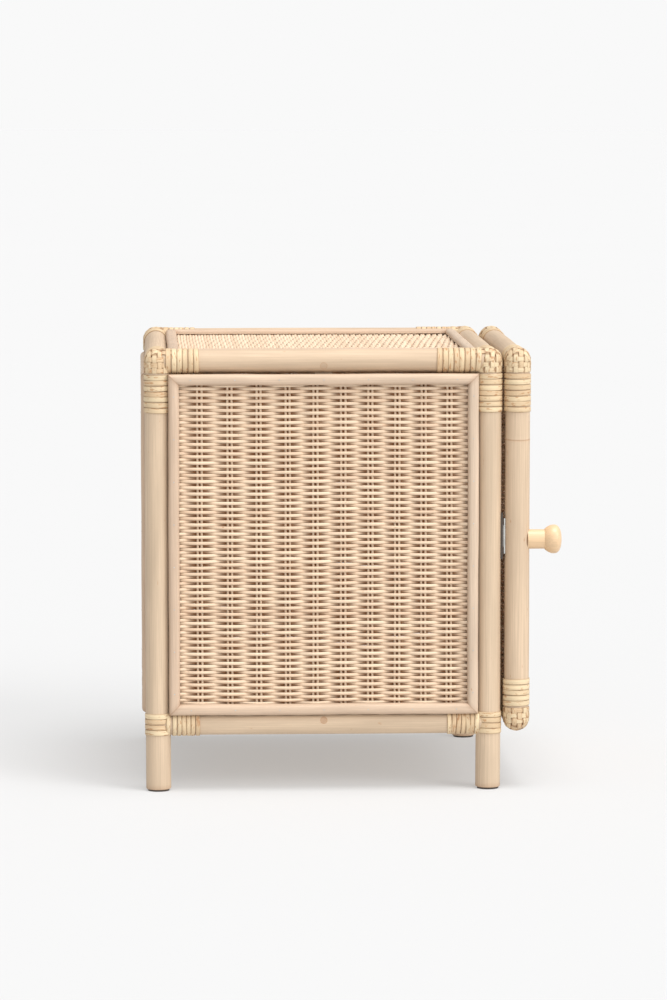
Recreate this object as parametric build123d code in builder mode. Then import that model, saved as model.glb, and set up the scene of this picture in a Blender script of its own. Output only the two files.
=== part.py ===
"""Rattan bedside cabinet with one hinged door, millimetres, +Z up.

The door faces -Y and is hinged on the +X side. The origin is at the bottom centre
of the whole cabinet with its door shut.
"""
from build123d import *
from math import sqrt
import os

# Overall sizes
body_width = 400.0
body_depth = 400.0
height = 500.0
leg_height = 63.0

# Poles
pole_d = 28.0
rail_d = 26.0
brace_d = 20.0
rail_drop = 2.0
glue_gap = 0.1

# Peel bindings over the pole joints
binding_t = 1.2
band_pitch = 6.2
post_bands = 7
rail_bands = 5
foot_bands = 4
door_foot_bands = 5
binding_gap = 0.3

# Woven panels and their mouldings
weave_t = 9.4
panel_gap = 0.3
moulding_w = 12.4
moulding_t = 8.0
moulding_round = 4.6
moulding_proud = 4.5
moulding_reach = 12.0
moulding_low = 23.7
moulding_high = 1.0
top_moulding_t = 5.0
top_weave_drop = 7.0
top_round = 3.6
top_rebate = 0.4
mitre_gap = 0.06
nail_r = 0.7
nail_length = 12.0
nail_pitch = 48.0
nail_clearance = 0.05
sleeve_gap = 0.05

# Floor board and shelf
board_t = 6.0
board_gap = 0.3
board_overhang = 7.0
shelf_top_z = 300.0
shelf_setback = 30.0
bearer_w = 12.0
bearer_h = 18.0

# Screws and plugs
screw_r = 2.0
screw_head_r = 4.0
screw_head_h = 2.5
screw_length = 62.0
screw_recess = 1.0
side_screw_drop = 1.0
cross_screw_drop = 7.0
brace_screw_drop = 5.0
screw_clearance = 0.1
plug_r = 4.0
plug_t = 3.0
plug_proud = 0.2

# Feet
glide_t = 2.0
glide_inset = 2.0

# Door
door_gap = 4.0
door_bottom = 65.0
knob_z = 283.0
knob_stem_r = 11.0
knob_head_r = 16.25
knob_face_r = 7.0
knob_rim_t = 9.5
knob_head_t = 19.5
knob_reach = 36.5
knob_screw_length = 44.0

# Hinges
hinge_low_rise = 94.0
hinge_top_drop = 100.0
hinge_height = 50.0
hinge_knuckles = 5
knuckle_r = 3.0
knuckle_gap = 0.4
hinge_pin_r = 1.25
hinge_pin_clearance = 0.05
hinge_head_r = 2.2
hinge_head_t = 1.0
leaf_t = 1.2
leaf_width = 20.0
small_screw_r = 1.3
small_head_r = 2.2
small_screw_length = 14.0
small_screw_inset = 9.0

# Magnetic catch
catch_z = 287.0
catch_height = 52.0
catch_width = 8.0
catch_t = 2.8
catch_seat = 0.6
magnet_height = 24.5
magnet_width = 5.0
magnet_t = 2.4
magnet_proud = 0.6
strike_height = 40.0
strike_t = 1.4

# Sizes that follow from the ones above
pole_r = pole_d / 2
rail_r = rail_d / 2
brace_r = brace_d / 2
bound_post_r = pole_r + sleeve_gap + binding_t
bound_rail_r = rail_r + sleeve_gap + binding_t
half_x = body_width / 2 - pole_r
half_y = body_depth / 2 - pole_r
back_reach = body_depth / 2 + moulding_proud
front_reach = body_depth / 2 + door_gap + pole_d + knob_reach
mid_y = (front_reach - back_reach) / 2
front_y = mid_y - half_y
back_y = mid_y + half_y
door_y = front_y - pole_d - door_gap
post_crown_z = height - bound_post_r
top_rail_z = height - rail_drop - rail_r
low_rail_z = leg_height + rail_r
door_low_rail_z = door_bottom + rail_drop + rail_r
board_z = low_rail_z + bound_rail_r + glue_gap
top_face_z = height - top_weave_drop
top_brace_z = top_face_z - weave_t - glue_gap - brace_r
low_brace_z = board_z - glue_gap - brace_r
hinge_z = (low_rail_z + hinge_low_rise, top_rail_z - hinge_top_drop)

os.makedirs("parts", exist_ok=True)


def save(piece, label):
    """Labels one finished sub-part and writes its STEP file."""
    piece.label = label
    export_step(piece, f"parts/{label}.step")


def corner_name(x, y):
    """Names a corner, seen from the front: left is -X and front is -Y."""
    return ("back" if y > mid_y else "front") + ("_right" if x > 0 else "_left")


def toward(x, y, z, direction):
    """The plane at a point whose normal is the direction given."""
    return Plane(origin=(x, y, z), z_dir=direction)


CORNERS = [(x, y) for y in (front_y, back_y) for x in (-half_x, half_x)]
MIN_END = (Align.CENTER, Align.CENTER, Align.MIN)


# Screw places: each is the plane at the outside of a pole, its normal pointing along the screw
def rail_screw_places(levels):
    """Two screws through every post at every rail level, one into each rail end."""
    places = []
    for x, y in CORNERS:
        to_x = -1 if x > 0 else 1
        to_y = -1 if y > mid_y else 1
        for level in levels:
            start = pole_r - screw_recess
            x_start = x - to_x * start
            y_start = y - to_y * start
            places.append(toward(x_start, y, level - cross_screw_drop, (to_x, 0, 0)))
            places.append(toward(x, y_start, level - side_screw_drop, (0, to_y, 0)))
    return places


bearer_z = shelf_top_z - board_t - bearer_h / 2
bearer_outer_x = body_width / 2 + moulding_proud - moulding_t - weave_t - panel_gap
bearer_x = bearer_outer_x - bearer_w / 2


def bearer_screw_places():
    """One screw through every post into the end of its shelf bearer."""
    places = []
    for x, y in CORNERS:
        to_y = -1 if y > mid_y else 1
        side = 1 if x > 0 else -1
        y_start = y - to_y * (pole_r - screw_recess)
        places.append(toward(side * bearer_x, y_start, bearer_z, (0, to_y, 0)))
    return places


def brace_screw_places():
    """One screw through each side rail into each brace end, deep enough for a plug."""
    places = []
    for side in (-1, 1):
        start = half_x + rail_r - plug_t - screw_recess
        for level in (top_rail_z - brace_screw_drop, low_brace_z):
            places.append(toward(side * start, mid_y, level, (-side, 0, 0)))
    return places


BODY_SCREWS = rail_screw_places((top_rail_z, low_rail_z)) + bearer_screw_places()
BRACE_SCREWS = brace_screw_places()


def door_screw_places():
    """One screw through each stile into each end of the door's two rails."""
    places = []
    for side in (-1, 1):
        for level in (top_rail_z, door_low_rail_z):
            start = side * (half_x + pole_r - screw_recess)
            places.append(toward(start, door_y, level, (-side, 0, 0)))
    return places


DOOR_SCREWS = door_screw_places()


def cut_screw_holes(places, reach):
    """Cuts clearance holes and head pockets for screws into the part being built."""
    with Locations(*[place.location for place in places]):
        Cylinder(
            screw_r + screw_clearance,
            screw_length + screw_clearance,
            align=MIN_END,
            mode=Mode.SUBTRACT,
        )
        Cylinder(
            screw_head_r + screw_clearance,
            2 * (screw_head_h + screw_clearance) + reach,
            mode=Mode.SUBTRACT,
        )


def wood_screws(places, label):
    """A group of equal wood screws, heads first, one at each place."""
    with BuildPart() as screws:
        with Locations(*[place.location for place in places]):
            Cylinder(screw_r, screw_length, align=MIN_END)
            Cylinder(screw_head_r, screw_head_h, align=MIN_END)
    save(screws.part, label)


def small_screws(places, label):
    """A group of equal small screws whose flat heads fill the metal they hold."""
    with BuildPart() as screws:
        with Locations(*[place.location for place in places]):
            Cylinder(small_screw_r, small_screw_length, align=MIN_END)
            Cylinder(small_head_r, leaf_t / 2, align=MIN_END)
    save(screws.part, label)


def cut_small_holes(places):
    """Cuts the holes and head pockets for small screws into the part being built."""
    with Locations(*[place.location for place in places]):
        Cylinder(
            small_screw_r + nail_clearance,
            small_screw_length + nail_clearance,
            align=MIN_END,
            mode=Mode.SUBTRACT,
        )
        Cylinder(
            small_head_r + nail_clearance,
            leaf_t + 2 * nail_clearance,
            mode=Mode.SUBTRACT,
        )


# Hinge geometry: the pin stands beside the poles, halfway across the door gap
pin_x = half_x + pole_r
pin_y = front_y - pole_r - door_gap / 2
leaf_mid_x = pin_x - leaf_width / 2
post_leaf_y = pin_y + knuckle_r
door_leaf_y = pin_y - knuckle_r


def hinge_screw_places(face_y, direction):
    """Two screws on the centre line of the pole at each hinge."""
    places = []
    for z in hinge_z:
        for step in (-1, 1):
            offset = step * (hinge_height / 2 - small_screw_inset)
            places.append(toward(half_x, face_y, z + offset, (0, direction, 0)))
    return places


HINGE_POST_SCREWS = hinge_screw_places(post_leaf_y - leaf_t, 1)
HINGE_DOOR_SCREWS = hinge_screw_places(door_leaf_y + leaf_t, -1)

# Catch geometry, in the gap on the side that opens
catch_seat_y = front_y - pole_r + catch_seat
catch_face_y = catch_seat_y - catch_t
strike_seat_y = door_y + pole_r - catch_seat
strike_face_y = strike_seat_y + strike_t


def catch_screw_places(face_y, reach, direction):
    """Two screws above and below the middle of the catch."""
    steps = (-reach, reach)
    return [toward(-half_x, face_y, catch_z + s, (0, direction, 0)) for s in steps]


catch_screw_reach = (catch_height + magnet_height) / 4
strike_screw_reach = strike_height / 2 - small_head_r - leaf_t
CATCH_SCREWS = catch_screw_places(catch_face_y, catch_screw_reach, 1)
STRIKE_SCREWS = catch_screw_places(strike_face_y, strike_screw_reach, -1)


def cut_flat(x, wall_y, z, size, outward):
    """Cuts a flat seat for a metal plate into the pole being built."""
    with Locations((x, wall_y + outward * pole_r / 2, z)):
        Box(pole_d, pole_r, size, mode=Mode.SUBTRACT)


def post(x, y):
    """A post of the body: a pole with a domed crown, standing on its glide."""
    with BuildPart() as pole:
        with Locations((x, y, glide_t)):
            Cylinder(pole_r, post_crown_z - glide_t, align=MIN_END)
        with Locations((x, y, post_crown_z)):
            Sphere(pole_r)
        cut_screw_holes([p for p in BODY_SCREWS if near(p, x, y)], 2 * screw_recess)
        if y < mid_y and x > 0:
            for z in hinge_z:
                cut_flat(x, post_leaf_y, z, hinge_height + 2 * nail_clearance, -1)
            cut_small_holes(HINGE_POST_SCREWS)
        if y < mid_y and x < 0:
            cut_flat(x, catch_seat_y, catch_z, catch_height + 2 * nail_clearance, -1)
            cut_small_holes(CATCH_SCREWS)
    save(pole.part, f"post_{corner_name(x, y)}")


def near(place, x, y):
    """True if a screw place lies on the post at this corner."""
    return abs(place.origin.X - x) <= pole_r and abs(place.origin.Y - y) <= pole_r


for corner_x, corner_y in CORNERS:
    post(corner_x, corner_y)

with BuildPart() as foot_glides:
    with Locations(*[(x, y, 0) for x, y in CORNERS]):
        Cylinder(pole_r - glide_inset, glide_t, align=MIN_END)
save(foot_glides.part, "foot_glides")


def rail(label, start, end, radius, copes, screws, plugs=(), mitres=()):
    """A pole from start to end whose ends are hollowed to fit the poles they meet.

    Each cope is the x, y, z, direction and radius of a pole that this one meets, and
    each mitre is a plane that parts it from the next rail, on its own side.
    """
    run = Vector(*end) - Vector(*start)
    with BuildPart() as bar:
        with BuildSketch(Plane(origin=start, z_dir=run)):
            Circle(radius)
        extrude(amount=run.length)
        for x, y, z, direction, cope_r in copes:
            with Locations(toward(x, y, z, direction).location):
                Cylinder(cope_r + glue_gap, 2 * height, mode=Mode.SUBTRACT)
        for mitre in mitres:
            split(bisect_by=mitre, keep=Keep.TOP)
        cut_screw_holes(screws, 2 * screw_recess)
        if plugs:
            with Locations(*[place.location for place in plugs]):
                Cylinder(
                    plug_r + nail_clearance,
                    4 * plug_t,
                    align=(Align.CENTER, Align.CENTER, Align.MAX),
                    mode=Mode.SUBTRACT,
                )
    save(bar.part, label)


def corner_mitres(points, level, along_x):
    """The planes, halfway between two rails, where a rail ends at each of its posts."""
    planes = []
    for x, y in points:
        to_x = -1 if x > 0 else 1
        to_y = -1 if y > mid_y else 1
        normal = (to_x, -to_y, 0) if along_x else (-to_x, to_y, 0)
        planes.append(Plane(origin=(x, y, level), z_dir=normal).offset(glue_gap))
    return planes


def post_copes(points):
    """Upright poles met by a rail."""
    return [(x, y, 0, (0, 0, 1), pole_r) for x, y in points]


for level_name, level in (("top", top_rail_z), ("bottom", low_rail_z)):
    for side_name, side_x in (("left", -half_x), ("right", half_x)):
        rail_name = f"rail_{level_name}_{side_name}"
        ends = [(side_x, front_y), (side_x, back_y)]
        side_screws = [p for p in BODY_SCREWS if abs(p.origin.X - side_x) < 1]
        brace_screws = [p for p in BRACE_SCREWS if p.origin.X * side_x > 0]
        brace_screws = [p for p in brace_screws if abs(p.origin.Z - level) < rail_r]
        rail(
            rail_name,
            (side_x, front_y, level),
            (side_x, back_y, level),
            rail_r,
            post_copes(ends),
            side_screws + brace_screws,
            brace_screws,
            corner_mitres(ends, level, False),
        )
    for side_name, side_y in (("front", front_y), ("back", back_y)):
        rail_name = f"rail_{level_name}_{side_name}"
        ends = [(-half_x, side_y), (half_x, side_y)]
        rail(
            rail_name,
            (-half_x, side_y, level),
            (half_x, side_y, level),
            rail_r,
            post_copes(ends),
            [p for p in BODY_SCREWS if abs(p.origin.Y - side_y) < 1],
            mitres=corner_mitres(ends, level, True),
        )

for level_name, level, rail_level in (
    ("top", top_brace_z, top_rail_z),
    ("bottom", low_brace_z, low_rail_z),
):
    side_copes = [(x, mid_y, rail_level, (0, 1, 0), rail_r) for x in (-half_x, half_x)]
    rail(
        f"brace_{level_name}",
        (-half_x, mid_y, level),
        (half_x, mid_y, level),
        brace_r,
        side_copes,
        [p for p in BRACE_SCREWS if abs(p.origin.Z - rail_level) < rail_r],
    )

wood_screws(BODY_SCREWS + BRACE_SCREWS, "frame_screws")


def plug_length(place):
    """How far a plug reaches out from its screw head to the round of its rail."""
    level = top_rail_z if place.origin.Z > height / 2 else low_rail_z
    drop = place.origin.Z - level
    outside = half_x + sqrt(rail_r**2 - drop**2) + plug_proud
    return outside - abs(place.origin.X)


with BuildPart() as screw_plugs:
    for place in BRACE_SCREWS:
        with Locations(place.location):
            Cylinder(
                plug_r,
                plug_length(place) - glue_gap,
                align=(Align.CENTER, Align.CENTER, Align.MAX),
            )
    with Locations(*[place.offset(-glue_gap).location for place in BRACE_SCREWS]):
        Cylinder(plug_r + 1, 2 * plug_t, align=MIN_END, mode=Mode.SUBTRACT)
save(screw_plugs.part, "screw_plugs")


# Peel bindings
def band_profile(inner_r, start, bands, pitch):
    """Half the section of a row of bands round a pole, each band a shallow arc."""
    with BuildSketch() as profile:
        with BuildLine():
            Polyline(
                (inner_r + binding_t / 2, start),
                (inner_r, start),
                (inner_r, start + bands * pitch),
                (inner_r + binding_t / 2, start + bands * pitch),
            )
            for band in range(bands):
                low = start + band * pitch
                ThreePointArc(
                    (inner_r + binding_t / 2, low),
                    (inner_r + binding_t, low + pitch / 2),
                    (inner_r + binding_t / 2, low + pitch),
                )
        make_face()
    return profile.sketch


def wrap(plane, inner_r, start, bands, pitch):
    """Adds a row of bands round the pole that runs along the plane's normal."""
    section = band_profile(inner_r, start, bands, pitch)
    turned = Plane(origin=plane.origin, x_dir=plane.x_dir, z_dir=-plane.y_dir)
    add(revolve(turned * section, Axis(plane.origin, plane.z_dir), mode=Mode.PRIVATE))


def cap(plane, inner_r, straight):
    """Adds a domed knot cap: a shell over a pole end, with a straight skirt."""
    outer_r = inner_r + binding_t
    with BuildSketch(Plane(plane.origin, plane.x_dir, -plane.y_dir)) as shell:
        with BuildLine():
            Polyline((0, inner_r), (0, outer_r))
            RadiusArc((0, outer_r), (outer_r, 0), outer_r)
            Polyline((outer_r, 0), (outer_r, -straight), (inner_r, -straight), (inner_r, 0))
            RadiusArc((inner_r, 0), (0, inner_r), -inner_r)
        make_face()
    add(revolve(shell.sketch, Axis(plane.origin, plane.z_dir), mode=Mode.PRIVATE))


def free_rails(x, y, level, directions):
    """Clears the rails that leave a corner from the caps and bands being built."""
    for direction in directions:
        with Locations(toward(x, y, level, direction).location):
            Cylinder(rail_r + glue_gap, height, align=MIN_END, mode=Mode.SUBTRACT)


def binding(label, x, y, level, directions, pole_end, end_z, bands, pitch):
    """All the peel at one joint: on the pole past the rails, over the pole's end or
    round its face at the rails, and on each rail beside the pole."""
    away = -pole_end
    sleeve_r = pole_r + sleeve_gap
    rail_sleeve_r = rail_r + sleeve_gap
    clear = bound_rail_r + binding_gap
    with BuildPart() as peel:
        if end_z is None:
            wrap(toward(x, y, level - rail_r, (0, 0, 1)), sleeve_r, 0, bands, pitch)
        else:
            crown = Plane(origin=(x, y, end_z), x_dir=(1, 0, 0), z_dir=(0, 0, pole_end))
            cap(crown, sleeve_r, abs(end_z - level) + clear)
            start = toward(x, y, level + away * clear, (0, 0, away))
            wrap(start, sleeve_r, 0, bands, pitch)
        free_rails(x, y, level, directions)
        for direction in directions:
            start = toward(x, y, level, direction)
            offset = bound_post_r + binding_gap
            wrap(start, rail_sleeve_r, offset, rail_bands, band_pitch)
    save(peel.part, label)


for corner_x, corner_y in CORNERS:
    inward_x = (-1 if corner_x > 0 else 1, 0, 0)
    inward_y = (0, -1 if corner_y > mid_y else 1, 0)
    name = corner_name(corner_x, corner_y)
    binding(
        f"binding_top_{name}",
        corner_x,
        corner_y,
        top_rail_z,
        (inward_x, inward_y),
        1,
        post_crown_z,
        post_bands,
        band_pitch,
    )
    binding(
        f"binding_bottom_{name}",
        corner_x,
        corner_y,
        low_rail_z,
        (inward_x, inward_y),
        -1,
        None,
        foot_bands,
        rail_d / foot_bands,
    )


# Woven panels, each with a mitred moulding frame nailed over its edges
def frame_spans(low, high, pitch):
    """Evenly spaced nail places between two ends, about one pitch apart."""
    count = max(2, round((high - low) / pitch) + 1)
    step = (high - low) / (count - 1)
    return [low + i * step for i in range(count)]


def nail_places(face, width, tall):
    """Nails along the centre line of each of the four mouldings."""
    u = (width - moulding_w) / 2
    v = (tall - moulding_w) / 2
    inset = moulding_w * 1.5
    across = frame_spans(-u + inset, u - inset, nail_pitch)
    upright = frame_spans(-v + inset, v - inset, nail_pitch)
    points = [(a, s * v) for a in across for s in (-1, 1)]
    points += [(s * u, b) for b in upright for s in (-1, 1)]
    return [face.location * Location((a, b, 0)) for a, b in points]


def cut_nail_holes(nails):
    """Cuts the holes that nails make in the panel being built."""
    with Locations(*nails):
        Cylinder(
            nail_r + nail_clearance,
            2 * (nail_length - moulding_t + nail_clearance),
            mode=Mode.SUBTRACT,
        )


def woven_panel(label, face, width, tall, nails):
    """A woven panel as a plate of the weave's full thickness."""
    with BuildPart() as panel:
        with BuildSketch(face.offset(-weave_t)):
            Rectangle(width, tall)
        extrude(amount=weave_t)
        cut_nail_holes(nails)
    save(panel.part, label)


def moulding(label, face, width, tall, thick, rounding, nails):
    """Four mitred strips with rounded fronts, laid round a panel's edge."""
    u = width / 2
    v = tall / 2
    w = moulding_w
    g = mitre_gap
    strips = [
        [(-u + g, v), (u - g, v), (u - w - g, v - w), (w - u + g, v - w)],
        [(-u + g, -v), (u - g, -v), (u - w - g, w - v), (w - u + g, w - v)],
        [(-u, v - g), (-u, g - v), (w - u, w - v + g), (w - u, v - w - g)],
        [(u, v - g), (u, g - v), (u - w, w - v + g), (u - w, v - w - g)],
    ]
    long_edge = 2 * w
    with BuildPart() as frame:
        with BuildSketch(face):
            for strip in strips:
                with BuildLine():
                    Polyline(*strip, close=True)
                make_face()
        extrude(amount=thick)
        fronts = frame.edges().group_by(Axis(face.origin, face.z_dir))[-1]
        fillet([edge for edge in fronts if edge.length > long_edge], rounding)
        with Locations(*nails):
            Cylinder(nail_r + nail_clearance, 4 * thick, mode=Mode.SUBTRACT)
    save(frame.part, label)


side_face_x = body_width / 2 + moulding_proud - moulding_t
back_face_y = mid_y + body_depth / 2 + moulding_proud - moulding_t
panel_low = low_rail_z + bound_rail_r + panel_gap
panel_high = top_rail_z - bound_rail_r - panel_gap
frame_low = leg_height + moulding_low
frame_high = top_rail_z - rail_r - moulding_high
side_frame_w = body_depth - 2 * pole_d + 2 * (pole_r - moulding_reach)
back_frame_w = body_width - 2 * pole_d + 2 * (pole_r - moulding_reach)
side_panel_w = 2 * (half_y - bound_post_r - panel_gap)
back_panel_w = 2 * (half_x - bound_post_r - panel_gap)
frame_mid_z = (frame_low + frame_high) / 2
panel_mid_z = (panel_low + panel_high) / 2
frame_tall = frame_high - frame_low
panel_tall = panel_high - panel_low

left_face = Plane((-side_face_x, mid_y, frame_mid_z), (0, -1, 0), (-1, 0, 0))
right_face = Plane((side_face_x, mid_y, frame_mid_z), (0, 1, 0), (1, 0, 0))
back_face = Plane((0, back_face_y, frame_mid_z), (-1, 0, 0), (0, 1, 0))
panel_shift = panel_mid_z - frame_mid_z


def shifted(face):
    """The same face, moved up to the middle of its panel."""
    return Plane(face.origin + Vector(0, 0, panel_shift), face.x_dir, face.z_dir)


all_nails = []
for name, face, frame_w, panel_w in (
    ("left", left_face, side_frame_w, side_panel_w),
    ("right", right_face, side_frame_w, side_panel_w),
    ("back", back_face, back_frame_w, back_panel_w),
):
    places = nail_places(face, frame_w, frame_tall)
    woven_panel(f"panel_{name}", shifted(face), panel_w, panel_tall, places)
    moulding(
        f"moulding_{name}", face, frame_w, frame_tall, moulding_t, moulding_round, places
    )
    all_nails += [(place, moulding_t) for place in places]

# Top panel, sunk between the top rails
top_face = Plane((0, mid_y, top_face_z), (1, 0, 0), (0, 0, 1))
top_panel_x = 2 * (half_x - bound_rail_r - panel_gap)
top_panel_y = 2 * (half_y - bound_rail_r - panel_gap)
rail_shoulder = sqrt(bound_rail_r**2 - (top_face_z - top_rail_z) ** 2)
top_frame_x = 2 * (half_x - rail_shoulder - panel_gap)
top_frame_y = 2 * (half_y - rail_shoulder - panel_gap)
top_seat = top_face.offset(-top_rebate)
top_strip_t = top_moulding_t + top_rebate
top_inset = 2 * (moulding_w + glue_gap)
top_nails = nail_places(top_seat, top_frame_x, top_frame_y)
with BuildPart() as panel_top:
    with BuildSketch(top_face.offset(-weave_t)):
        Rectangle(top_panel_x, top_panel_y)
    extrude(amount=weave_t - top_rebate)
    with BuildSketch(top_face.offset(-weave_t)):
        Rectangle(top_frame_x - top_inset, top_frame_y - top_inset)
    extrude(amount=weave_t)
    cut_nail_holes(top_nails)
save(panel_top.part, "panel_top")
moulding(
    "moulding_top",
    top_seat,
    top_frame_x,
    top_frame_y,
    top_strip_t,
    top_round,
    top_nails,
)
all_nails += [(place, top_strip_t) for place in top_nails]


def nail_group(nails, label):
    """Nails through the mouldings, their heads level with the wood."""
    with BuildPart() as group:
        for place, thick in nails:
            with Locations(place * Location((0, 0, thick))):
                Cylinder(
                    nail_r,
                    thick + nail_length - moulding_t,
                    align=(Align.CENTER, Align.CENTER, Align.MAX),
                )
    save(group.part, label)


nail_group(all_nails, "moulding_nails")


# Floor board and shelf, notched round the posts
def board(label, top_z, front_edge_y, back_edge_y):
    """A plywood board between the side panels, its corners cut clear of the posts."""
    half = side_face_x - weave_t - board_gap
    notch = bound_post_r + board_gap
    with BuildPart() as sheet:
        with BuildSketch(Plane.XY.offset(top_z - board_t)):
            with Locations((0, (front_edge_y + back_edge_y) / 2)):
                Rectangle(2 * half, back_edge_y - front_edge_y)
            with Locations(*CORNERS):
                Rectangle(2 * notch, 2 * notch, mode=Mode.SUBTRACT)
        extrude(amount=board_t)
    save(sheet.part, label)


board_back_y = back_face_y - weave_t - board_gap
board("bottom_board", board_z + board_t, front_y - board_overhang, board_back_y)
board("shelf_board", shelf_top_z, front_y + shelf_setback, board_back_y)

with BuildPart() as shelf_bearers:
    bearer_length = 2 * (half_y - pole_r - glue_gap)
    with Locations((-bearer_x, mid_y, bearer_z), (bearer_x, mid_y, bearer_z)):
        Box(bearer_w, bearer_length, bearer_h - glue_gap)
    cut_screw_holes(bearer_screw_places(), 2 * screw_recess)
save(shelf_bearers.part, "shelf_bearers")


# Door frame
def stile(x):
    """A door stile: a pole with a dome at each end."""
    low = door_bottom + bound_post_r
    with BuildPart() as pole:
        with Locations((x, door_y, low)):
            Cylinder(pole_r, post_crown_z - low, align=MIN_END)
        with Locations((x, door_y, low), (x, door_y, post_crown_z)):
            Sphere(pole_r)
        cut_screw_holes([p for p in DOOR_SCREWS if near(p, x, door_y)], 2 * screw_recess)
        if x > 0:
            for z in hinge_z:
                cut_flat(x, door_leaf_y, z, hinge_height + 2 * nail_clearance, 1)
            cut_small_holes(HINGE_DOOR_SCREWS)
        else:
            cut_flat(x, strike_seat_y, catch_z, strike_height + 2 * nail_clearance, 1)
            cut_small_holes(STRIKE_SCREWS)
            with Locations(knob_screw_plane.location):
                Cylinder(
                    screw_r + screw_clearance,
                    2 * knob_screw_length,
                    mode=Mode.SUBTRACT,
                )
                Cylinder(
                    screw_head_r + screw_clearance,
                    2 * (screw_head_h + screw_clearance),
                    mode=Mode.SUBTRACT,
                )
    side = "right" if x > 0 else "left"
    save(pole.part, f"door_stile_{side}")


knob_screw_y = door_y + pole_r - catch_seat - screw_recess
knob_screw_plane = toward(-half_x, knob_screw_y, knob_z, (0, -1, 0))

for stile_x in (-half_x, half_x):
    stile(stile_x)

for level_name, level in (("top", top_rail_z), ("bottom", door_low_rail_z)):
    rail(
        f"door_rail_{level_name}",
        (-half_x, door_y, level),
        (half_x, door_y, level),
        rail_r,
        post_copes([(-half_x, door_y), (half_x, door_y)]),
        [p for p in DOOR_SCREWS if abs(p.origin.Z - level) < 1],
    )
wood_screws(DOOR_SCREWS, "door_frame_screws")

for side_name, stile_x in (("left", -half_x), ("right", half_x)):
    inward = ((1 if stile_x < 0 else -1, 0, 0),)
    binding(
        f"door_binding_top_{side_name}",
        stile_x,
        door_y,
        top_rail_z,
        inward,
        1,
        post_crown_z,
        post_bands,
        band_pitch,
    )
    binding(
        f"door_binding_bottom_{side_name}",
        stile_x,
        door_y,
        door_low_rail_z,
        inward,
        -1,
        door_bottom + bound_post_r,
        door_foot_bands,
        band_pitch,
    )

# Door panel, in the middle of the door's thickness, moulded on its front
door_panel_low = door_low_rail_z + bound_rail_r + panel_gap
door_panel_tall = panel_high - door_panel_low
door_panel_w = back_panel_w
door_face = Plane(
    (0, door_y - weave_t / 2, door_panel_low + door_panel_tall / 2), (1, 0, 0), (0, -1, 0)
)
door_nails = nail_places(door_face, door_panel_w, door_panel_tall)
woven_panel("door_panel", door_face, door_panel_w, door_panel_tall, door_nails)
moulding(
    "door_moulding",
    door_face,
    door_panel_w,
    door_panel_tall,
    moulding_t,
    moulding_round,
    door_nails,
)
nail_group([(place, moulding_t) for place in door_nails], "door_moulding_nails")

# Knob, turned about its screw and hollowed to sit on the round stile
knob_tip_y = door_y - pole_r - knob_reach
knob_plane = Plane((-half_x, knob_tip_y, knob_z), (1, 0, 0), (0, 0, 1))
knob_root = knob_reach + pole_r / 2
with BuildPart() as knob:
    with BuildSketch(knob_plane):
        with BuildLine():
            Polyline((0, knob_root), (0, 0))
            Line((0, 0), (knob_face_r, 0))
            EllipticalCenterArc(
                (knob_face_r, knob_rim_t),
                knob_head_r - knob_face_r,
                knob_rim_t,
                start_angle=270,
                arc_size=90,
            )
            Spline(
                (knob_head_r, knob_rim_t),
                (knob_stem_r, knob_head_t),
                tangents=[(0, 1), (-1, 1)],
            )
            Polyline((knob_stem_r, knob_head_t), (knob_stem_r, knob_root), (0, knob_root))
        make_face()
    revolve(axis=Axis((-half_x, knob_tip_y, knob_z), (0, 1, 0)))
    with Locations((-half_x, door_y, knob_z)):
        Cylinder(pole_r + glue_gap, 3 * pole_d, mode=Mode.SUBTRACT)
    with Locations(knob_screw_plane.location):
        Cylinder(
            screw_r + screw_clearance,
            knob_screw_length + screw_clearance,
            align=MIN_END,
            mode=Mode.SUBTRACT,
        )
save(knob.part, "knob")

with BuildPart() as knob_screw:
    with Locations(knob_screw_plane.location):
        Cylinder(screw_r, knob_screw_length, align=MIN_END)
        Cylinder(screw_head_r, screw_head_h, align=MIN_END)
save(knob_screw.part, "knob_screw")


# Hinges
def hinge_leaf(label, seat_y, side, knuckles):
    """Two leaves, each flush on its pole and joined to its own share of the barrel."""
    step = hinge_height / hinge_knuckles
    with BuildPart() as leaves:
        for z in hinge_z:
            with Locations((leaf_mid_x, seat_y - side * leaf_t / 2, z)):
                Box(leaf_width, leaf_t, hinge_height)
            low = z - hinge_height / 2
            others = [k for k in range(hinge_knuckles) if k not in knuckles]
            notch = 2 * (knuckle_r + knuckle_gap)
            for k in others:
                with Locations((pin_x, pin_y, low + (k + 0.5) * step)):
                    Box(notch, notch, step + knuckle_gap, mode=Mode.SUBTRACT)
            for k in knuckles:
                with Locations((pin_x, pin_y, low + (k + 0.5) * step)):
                    Cylinder(knuckle_r, step - knuckle_gap)
            with Locations((pin_x, pin_y, z)):
                Cylinder(
                    hinge_pin_r + hinge_pin_clearance,
                    2 * hinge_height,
                    mode=Mode.SUBTRACT,
                )
        cut_small_holes(HINGE_POST_SCREWS if side > 0 else HINGE_DOOR_SCREWS)
    save(leaves.part, label)


hinge_leaf("hinge_post_leaves", post_leaf_y, 1, (0, 2, 4))
hinge_leaf("hinge_door_leaves", door_leaf_y, -1, (1, 3))

with BuildPart() as hinge_pins:
    for z in hinge_z:
        pin_half = hinge_height / 2 + hinge_pin_clearance
        with Locations((pin_x, pin_y, z)):
            Cylinder(hinge_pin_r, 2 * pin_half)
        with Locations((pin_x, pin_y, z + pin_half)):
            Cylinder(hinge_head_r, hinge_head_t, align=MIN_END)
        with Locations((pin_x, pin_y, z - pin_half - hinge_head_t)):
            Cylinder(hinge_head_r, hinge_head_t, align=MIN_END)
save(hinge_pins.part, "hinge_pins")

small_screws(HINGE_POST_SCREWS, "hinge_post_screws")

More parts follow.
